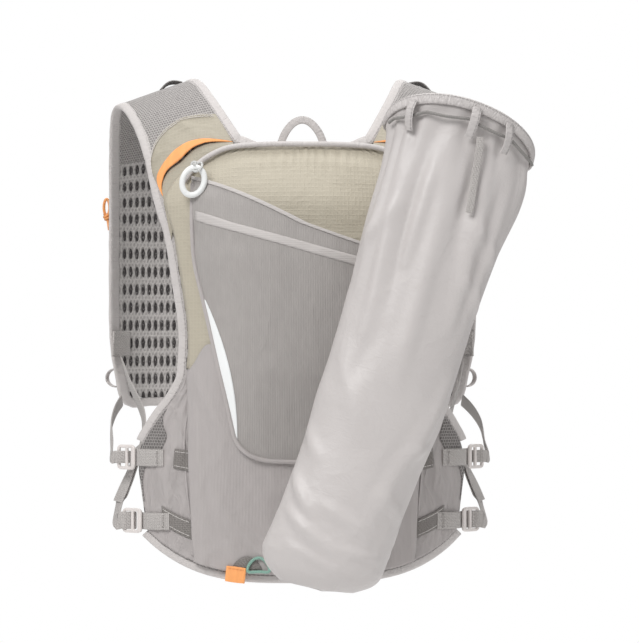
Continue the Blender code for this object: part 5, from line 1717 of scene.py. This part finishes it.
def lock_frame(x, height):
    """Centre and axes of a ladder lock: inward along the girth, up, and outward."""
    turn = math.acos(min(abs(x) / BODY_HALF_WIDTH, 1.0) ** (BODY_SQUARENESS / 2))
    angle = -turn if x > 0 else math.pi + turn
    centre = on_girth(angle, height, PAD + LOCK_LIFT)
    outward = (on_girth(angle, height, 0.01) - on_girth(angle, height)).normalized()
    up = Vector((0, 0, 1))
    inward = outward.cross(up) if x > 0 else up.cross(outward)
    return centre, inward, up, outward


def lock_route(x, height, steps):
    centre, inward, up, outward = lock_frame(x, height)
    return [centre + inward * a + up * b + outward * c for a, b, c in steps]


def lock_plate(name, x, height, stands_for):
    centre, inward, up, outward = lock_frame(x, height)
    half, tall = LOCK_LENGTH / 2, LOCK_HEIGHT / 2
    cuts = (-half, -half + LOCK_RAIL, -LOCK_RAIL / 2, LOCK_RAIL / 2, half - 1.7 * LOCK_RAIL, half)
    rails = (-tall, -tall + LOCK_RAIL, tall - LOCK_RAIL, tall)
    grid = bmesh.new()
    bmesh.ops.create_grid(grid, x_segments=5, y_segments=3, size=1.0)
    slots = [face for face in grid.faces if abs(face.calc_center_median().y) < 0.3
             and 0.3 < abs(face.calc_center_median().x) < 0.5]
    bmesh.ops.delete(grid, geom=slots, context="FACES")
    for vert in grid.verts:
        column, row = round((vert.co.x + 1) / 2 * 5), round((vert.co.y + 1) / 2 * 3)
        lip = 0.0010 if column in (0, 5) else 0.0
        corner = 0.90 if column in (0, 5) and row in (0, 3) else 1.0
        vert.co = centre + inward * cuts[column] * corner + up * rails[row] * corner + outward * lip
    bmesh.ops.recalc_face_normals(grid, faces=grid.faces)
    piece = keep(grid, name, "pale_plastic", "pale_plastic", stands_for,
                 wall=LOCK_WALL - 0.0006, centred=True)
    round_edges = piece.modifiers.new("round", "BEVEL")
    round_edges.width = 0.0008
    round_edges.segments = 3
    round_edges.limit_method = "ANGLE"
    round_edges.angle_limit = math.radians(30)


def level_strap(name, route, side, width, wall, finish, slot, stands_for=(), spacing=0.0015):
    """Strap whose width always points along side."""
    points = smooth_line(route, spacing)
    sides, ups = [], []
    for i in range(len(points)):
        way = points[min(i + 1, len(points) - 1)] - points[max(i - 1, 0)]
        sides.append(side.normalized())
        ups.append(side.cross(way).normalized())
    grid = carried(points, sides, ups, flat_outline(width, wall), 20)
    return keep(grid, name, finish, slot, stands_for)


# %% Straps through the locks
STRAP_ROUTES = {
    "upper": ((0.905, 0.500, 0.716), (0.940, 0.250, 0.738), (0.965, -0.050, 0.770),
              (0.965, -0.330, 0.812)),
    "lower": ((0.900, 0.500, 0.6270), (0.864, 0.170, 0.677), (0.800, -0.150, 0.749),
              (0.815, -0.350, 0.814), (0.868, -0.470, 0.880), (0.925, -0.500, 0.940)),
}
STRAP_WIDTHS = {"upper": 0.0100, "lower": 0.0140}
half = LOCK_LENGTH / 2
over = LOCK_WALL / 2 + SEAM_GAP + WEBBING / 2
bar = half - LOCK_RAIL
TAB_STEPS = ((half + 0.0045, 0, 0.0004), (half + 0.0010, 0, -0.0012),
             (half - 0.0020, 0, -over), (bar - 0.0040, 0, -over))
low, high = -half + LOCK_RAIL, -LOCK_RAIL / 2
STRAP_STEPS = ((-half - 0.0060, 0, 0.7 * over), (-half - 0.0010, 0, over),
               (low + 0.0002, 0, over), (low + 0.0020, 0, 0.0006), (high - 0.0020, 0, -0.0006),
               (high - 0.0002, 0, -over), (0.0012, 0, -over))


def from_waist(point, i=0):
    return Vector((point.x, 1.5 * point.y, 0)).normalized()


def waist_points(side, shares):
    """Points round the waist, given as shares of the form's half width, half depth and drop."""
    return [(side * a * BODY_HALF_WIDTH, b * BODY_HALF_DEPTH, -c * VEST_DROP)
            for a, b, c in shares]


def zigzag(name, middle, along, up, length, height, count, outward):
    """Bar tack: one thread that runs up and down across the webbing."""
    points = []
    for i in range(count * 2 + 1):
        reach = (i / (count * 2) - 0.5) * length
        rise = height / 2 * (1 if i % 2 else -1)
        points.append(middle + along * reach + up * rise + outward * 0.0002)
    return cord(name, points, 0.00032, "thread", "webbing", around=6)


for word, side in SIDES:
    for level, (x_share, drop_share) in LOCK_PLACES.items():
        x, height = side * x_share * BODY_HALF_WIDTH, -VEST_DROP * drop_share
        lock_plate(f"lock_plate_{level}_{word}", x, height, (f"ladder_lock_{level}_{word}",))
        lift = PAD + CLOTH + 2 * LAYER_GAP + WEBBING / 2 + 0.0010
        way = -way_down(-height)
        route = [on_form(side * (abs(x) - reach), way, lift) for reach in (0.0290, 0.0230, 0.0170)]
        route += lock_route(x, height, TAB_STEPS)
        level_strap(f"lock_tab_{level}_{word}", route, Vector((0, 0, 1)), 0.0136, WEBBING,
                    "webbing", "webbing", (f"wing_tab_{level}_{word}",))
        tack_x = side * (abs(x) - 0.0245)
        tack = on_form(tack_x, way, lift + WEBBING / 2)
        out = (tack - on_form(tack_x, way)).normalized()
        along = Vector((0, 0, 1)).cross(out).normalized()
        zigzag(f"tack_{level}_{word}", tack, Vector((0, 0, 1)), along, 0.0120, 0.0016, 9, out)
        points = smooth_line(waist_points(side, STRAP_ROUTES[level]), 0.014)
        points += lock_route(x, height, STRAP_STEPS)
        strap(f"waist_strap_{level}_{word}", points, from_waist, STRAP_WIDTHS[level], WEBBING,
              "webbing", "webbing", (f"side_strap_{level}_{word}",), spacing=0.002)
    route = [Vector(point) for point in waist_points(side, STRAP_ROUTES["lower"][3:])]
    doubled = [point + from_waist(point) * 0.0020 for point in route]
    strap(f"strap_fold_{word}", doubled, from_waist, 0.0146, 0.0014, "webbing", "webbing")

# %% Strap tabs and chest straps
TAB_X, TAB_WAYS = (0.9515, 1.0553), (0.778, 0.861)
tab_lift = (PAD - BINDING_WALL) / 2 - BAG_GAP / 2 - WEBBING


def side_tab_place(side, u, v):
    x, way = side * FRONT_ARM_EDGE * mix(*TAB_X, u), way_down(FRONT_DROP * mix(*TAB_WAYS, v))
    return on_form(x, way, tab_lift + 0.0004 * math.sin(u * 5 + v * 3)), (u * 0.015, v * 0.021)


for word, side in SIDES:
    panel(f"side_tab_{word}", lambda u, v: side_tab_place(side, u, v), 14, 18, WEBBING,
          "webbing", "webbing", (f"strap_tab_{word}",), flip=side < 0)

CLASP_SIZE = (0.026, 0.006, 0.020)

for word, drop_share, gaps in (("upper", 0.34, 3), ("lower", 0.70, 2)):
    top = (PAD + BINDING_WALL) / 2 + gaps * SEAM_GAP
    way = way_down(FRONT_DROP * drop_share)
    reach = front_edges(drop_share)[0] - 0.002
    route = [on_form(reach * (i / 5 - 1), way, top + WEBBING / 2) for i in range(11)]
    strap(f"chest_strap_{word}", route, lambda point, i: (0, 1, 0), 0.0120, WEBBING, "webbing",
          "webbing", (f"sternum_strap_{word}",))
    clasp = bmesh.new()
    bmesh.ops.create_cube(clasp, size=1.0)
    bmesh.ops.scale(clasp, vec=CLASP_SIZE, verts=clasp.verts)
    bmesh.ops.bevel(clasp, geom=clasp.edges[:], offset=0.0022, segments=4, profile=0.5,
                    affect="EDGES", material=-1)
    for vert in clasp.verts:
        vert.co.z *= 1 - 0.16 * abs(vert.co.x / (CLASP_SIZE[0] / 2)) ** 2
    seat = on_form(0.0, way, top + WEBBING + SEAM_GAP + CLASP_SIZE[1] / 2)
    bmesh.ops.translate(clasp, vec=seat, verts=clasp.verts)
    keep(clasp, f"chest_clasp_{word}", "grey_plastic", "grey_plastic", (f"sternum_clasp_{word}",))

# %% [markdown]
# ## Small loops and tabs
#
# A bright tab and a teal cord mark the hem's pull, a bright knotted cord hangs at the chest panel's
# edge, and short loops stand off the straps and the chest panels. The loose ones are round cord
# on a curve; the woven ones are flat straps whose width turns with the arch.

# %% Hem pull
hem_lift = PAD + BAG_GAP + 2 * CLOTH + 2 * LAYER_GAP + SEAM_GAP
TAB_SPAN = (-0.562 * BAG_HALF_WIDTH, -0.425 * BAG_HALF_WIDTH)
TAB_DROPS = (1.114 * VEST_DROP, 1.079 * VEST_DROP)


def hem_tab_place(u, v):
    bulge = 0.0008 * math.sin(math.pi * u) * math.sin(math.pi * v)
    slant = 0.0020 * (0.5 - u)
    x = mix(*TAB_SPAN, u) + 0.0012 * (v - 0.5)
    way = -way_down(mix(*TAB_DROPS, v) - slant)
    return on_form(x, way, hem_lift + 0.0014 + bulge), (u * 0.015, v * 0.0124)


panel("hem_pull", hem_tab_place, 14, 12, 0.0018, "orange_cloth", "orange_cloth",
      ("hem_tab",), levels=1)
cord_x, cord_drop = -0.333 * BAG_HALF_WIDTH, 1.080 * VEST_DROP


def teal_point(turn):
    out = cord_x + 0.0085 * math.cos(turn)
    down = cord_drop - 0.0055 * math.sin(turn) + 0.002 * math.cos(2 * turn)
    return on_form(out, -way_down(down), hem_lift + 0.0026)


cord("teal_loop", round_points(40, teal_point), 0.0012, "teal_cord", "teal_cord",
     ("hem_cord",), closed=True)


def opening_shadow_place(u, v):
    """Painted shadow inside the opening above the pull: a dark sheet, a lens between two arcs."""
    x = mix(-0.0575, -0.0335, u)
    open_share = math.sin(math.pi * u) ** 0.7
    drop = mix(1.086, 1.086 - 0.030 * open_share, v)
    return on_back(x, drop, hem_lift + 0.0008), (x, v * 0.01)


# A dark sheet painted as the shadow inside the opening.
panel("hem_opening_shadow", opening_shadow_place, 24, 6, 0.0004, "dark_webbing", "dark_webbing")


def hem_thread(t, lift):
    return hem_tab_place(mix(0.12, 0.88, t), 0.84)[0] + Vector((0, -0.0019 - lift, 0))


stitches("hem_pull_stitches", hem_thread, 0.012, "orange_cord", "orange_cloth")

# %% Chest cord and edge loops
def edge_root(x, drop, gap):
    root = on_form(x, way_down(drop), (PAD + BINDING_WALL) / 2 + gap)
    return root, (on_form(x, way_down(drop), 0.01) - on_form(x, way_down(drop))).normalized()


root, out = edge_root(-1.031 * FRONT_ARM_EDGE, 0.400 * FRONT_DROP, 0.0012)


def bright_point(turn):
    rise = 0.0092 + 0.0068 * math.sin(turn)
    stand = out * 0.0026 * (1 - math.cos(turn))
    return root + stand + Vector((0, 0.0006 * math.sin(2 * turn), rise))


cord("bright_loop", round_points(40, bright_point), 0.0012, "orange_cord", "orange_cloth",
     ("cord_loop_left",), closed=True)
knot_place = root + out * 0.0026 + Vector((0, 0, 0.0012))
knot("bright_knot", knot_place, (0.3, 0, -1), 0.0021, 0.0011, "orange_cord")
TAIL_ROUTE = ((0, 0, 0), (0.0012, -0.0008, -0.0050), (0.0020, -0.0004, -0.0110))
tails = [knot_place + Vector(step) for step in TAIL_ROUTE]
cord("bright_tail", smooth_line(tails, 0.001), 0.0011, "orange_cord", "orange_cloth")
for word, side in SIDES:
    root, out = edge_root(side * 0.9965 * FRONT_ARM_EDGE, 0.933 * FRONT_DROP, SEAM_GAP)
    arch = []
    for i in range(17):
        turn = math.pi * i / 16
        arch.append(root + out * 0.0095 * math.sin(turn) + Vector((0, 0, 0.0075 * math.cos(turn))))
    strap(f"edge_arch_{word}", arch, lambda point, i: point - root + out * 0.002, 0.0050, 0.0012,
          "binding_tape", "binding_tape", (f"edge_loop_{word}",), spacing=0.002)
    rise = []
    for i in range(13):
        x = side * BODY_HALF_WIDTH * mix(0.585, 0.700, i / 12)
        lift = PAD + SEAM_GAP + WEBBING / 2 + 0.0038 * math.sin(math.pi * i / 12)
        rise.append(on_form(x, 0.012, lift))
    strap(f"hose_keeper_{word}", rise, lambda point, i: (0, 0.15, 1), 0.0140, WEBBING, "elastic",
          "dark_webbing", (f"hose_loop_{word}",))

# %% Reflective wedge and pocket edge
def wedge_place(u, v):
    """Wedge just inside the pocket's left seam, pointed at both ends."""
    wide = 0.068 * math.sin(math.pi * mix(0.02, 0.98, v)) ** 0.8
    return stash_skin(0.012 + u * wide, mix(0.02, 0.56, v), FACE + 0.0003)


panel("stash_wedge", wedge_place, 6, 60, 0.0004, "reflective", "binding_tape")
EDGE_ROUTE = [(0.004, v) for v in (0.98, 0.85, 0.7, 0.55, 0.4, 0.25, 0.12, 0.02)]
EDGE_ROUTE += [(u, 0.004) for u in (0.05, 0.12, 0.22, 0.35, 0.5)]
edge_line = [stash_skin(u, v, FACE + 0.0004)[0] for u, v in EDGE_ROUTE]
cord("pocket_piping", smooth_line(edge_line, 0.003), 0.0017, "stretch_weave", "stretch_weave")

# %% [markdown]
# ## The free cords
#
# The last lines print the length and thickness of each free cord. Every piece was already handed to
# the frame as it was made.


# %% Free cords
CORDS = (("hanger_cord", hanger_line, HANGER_CORD_RADIUS),
         ("quiver_draw_cord", draw_line, DRAWCORD_RADIUS))
for name, line, radius in CORDS:
    line_length(line)
    print(f"{name}: {line_length(line) * 1000:.0f} mm long, {radius * 2000:.1f} mm thick")
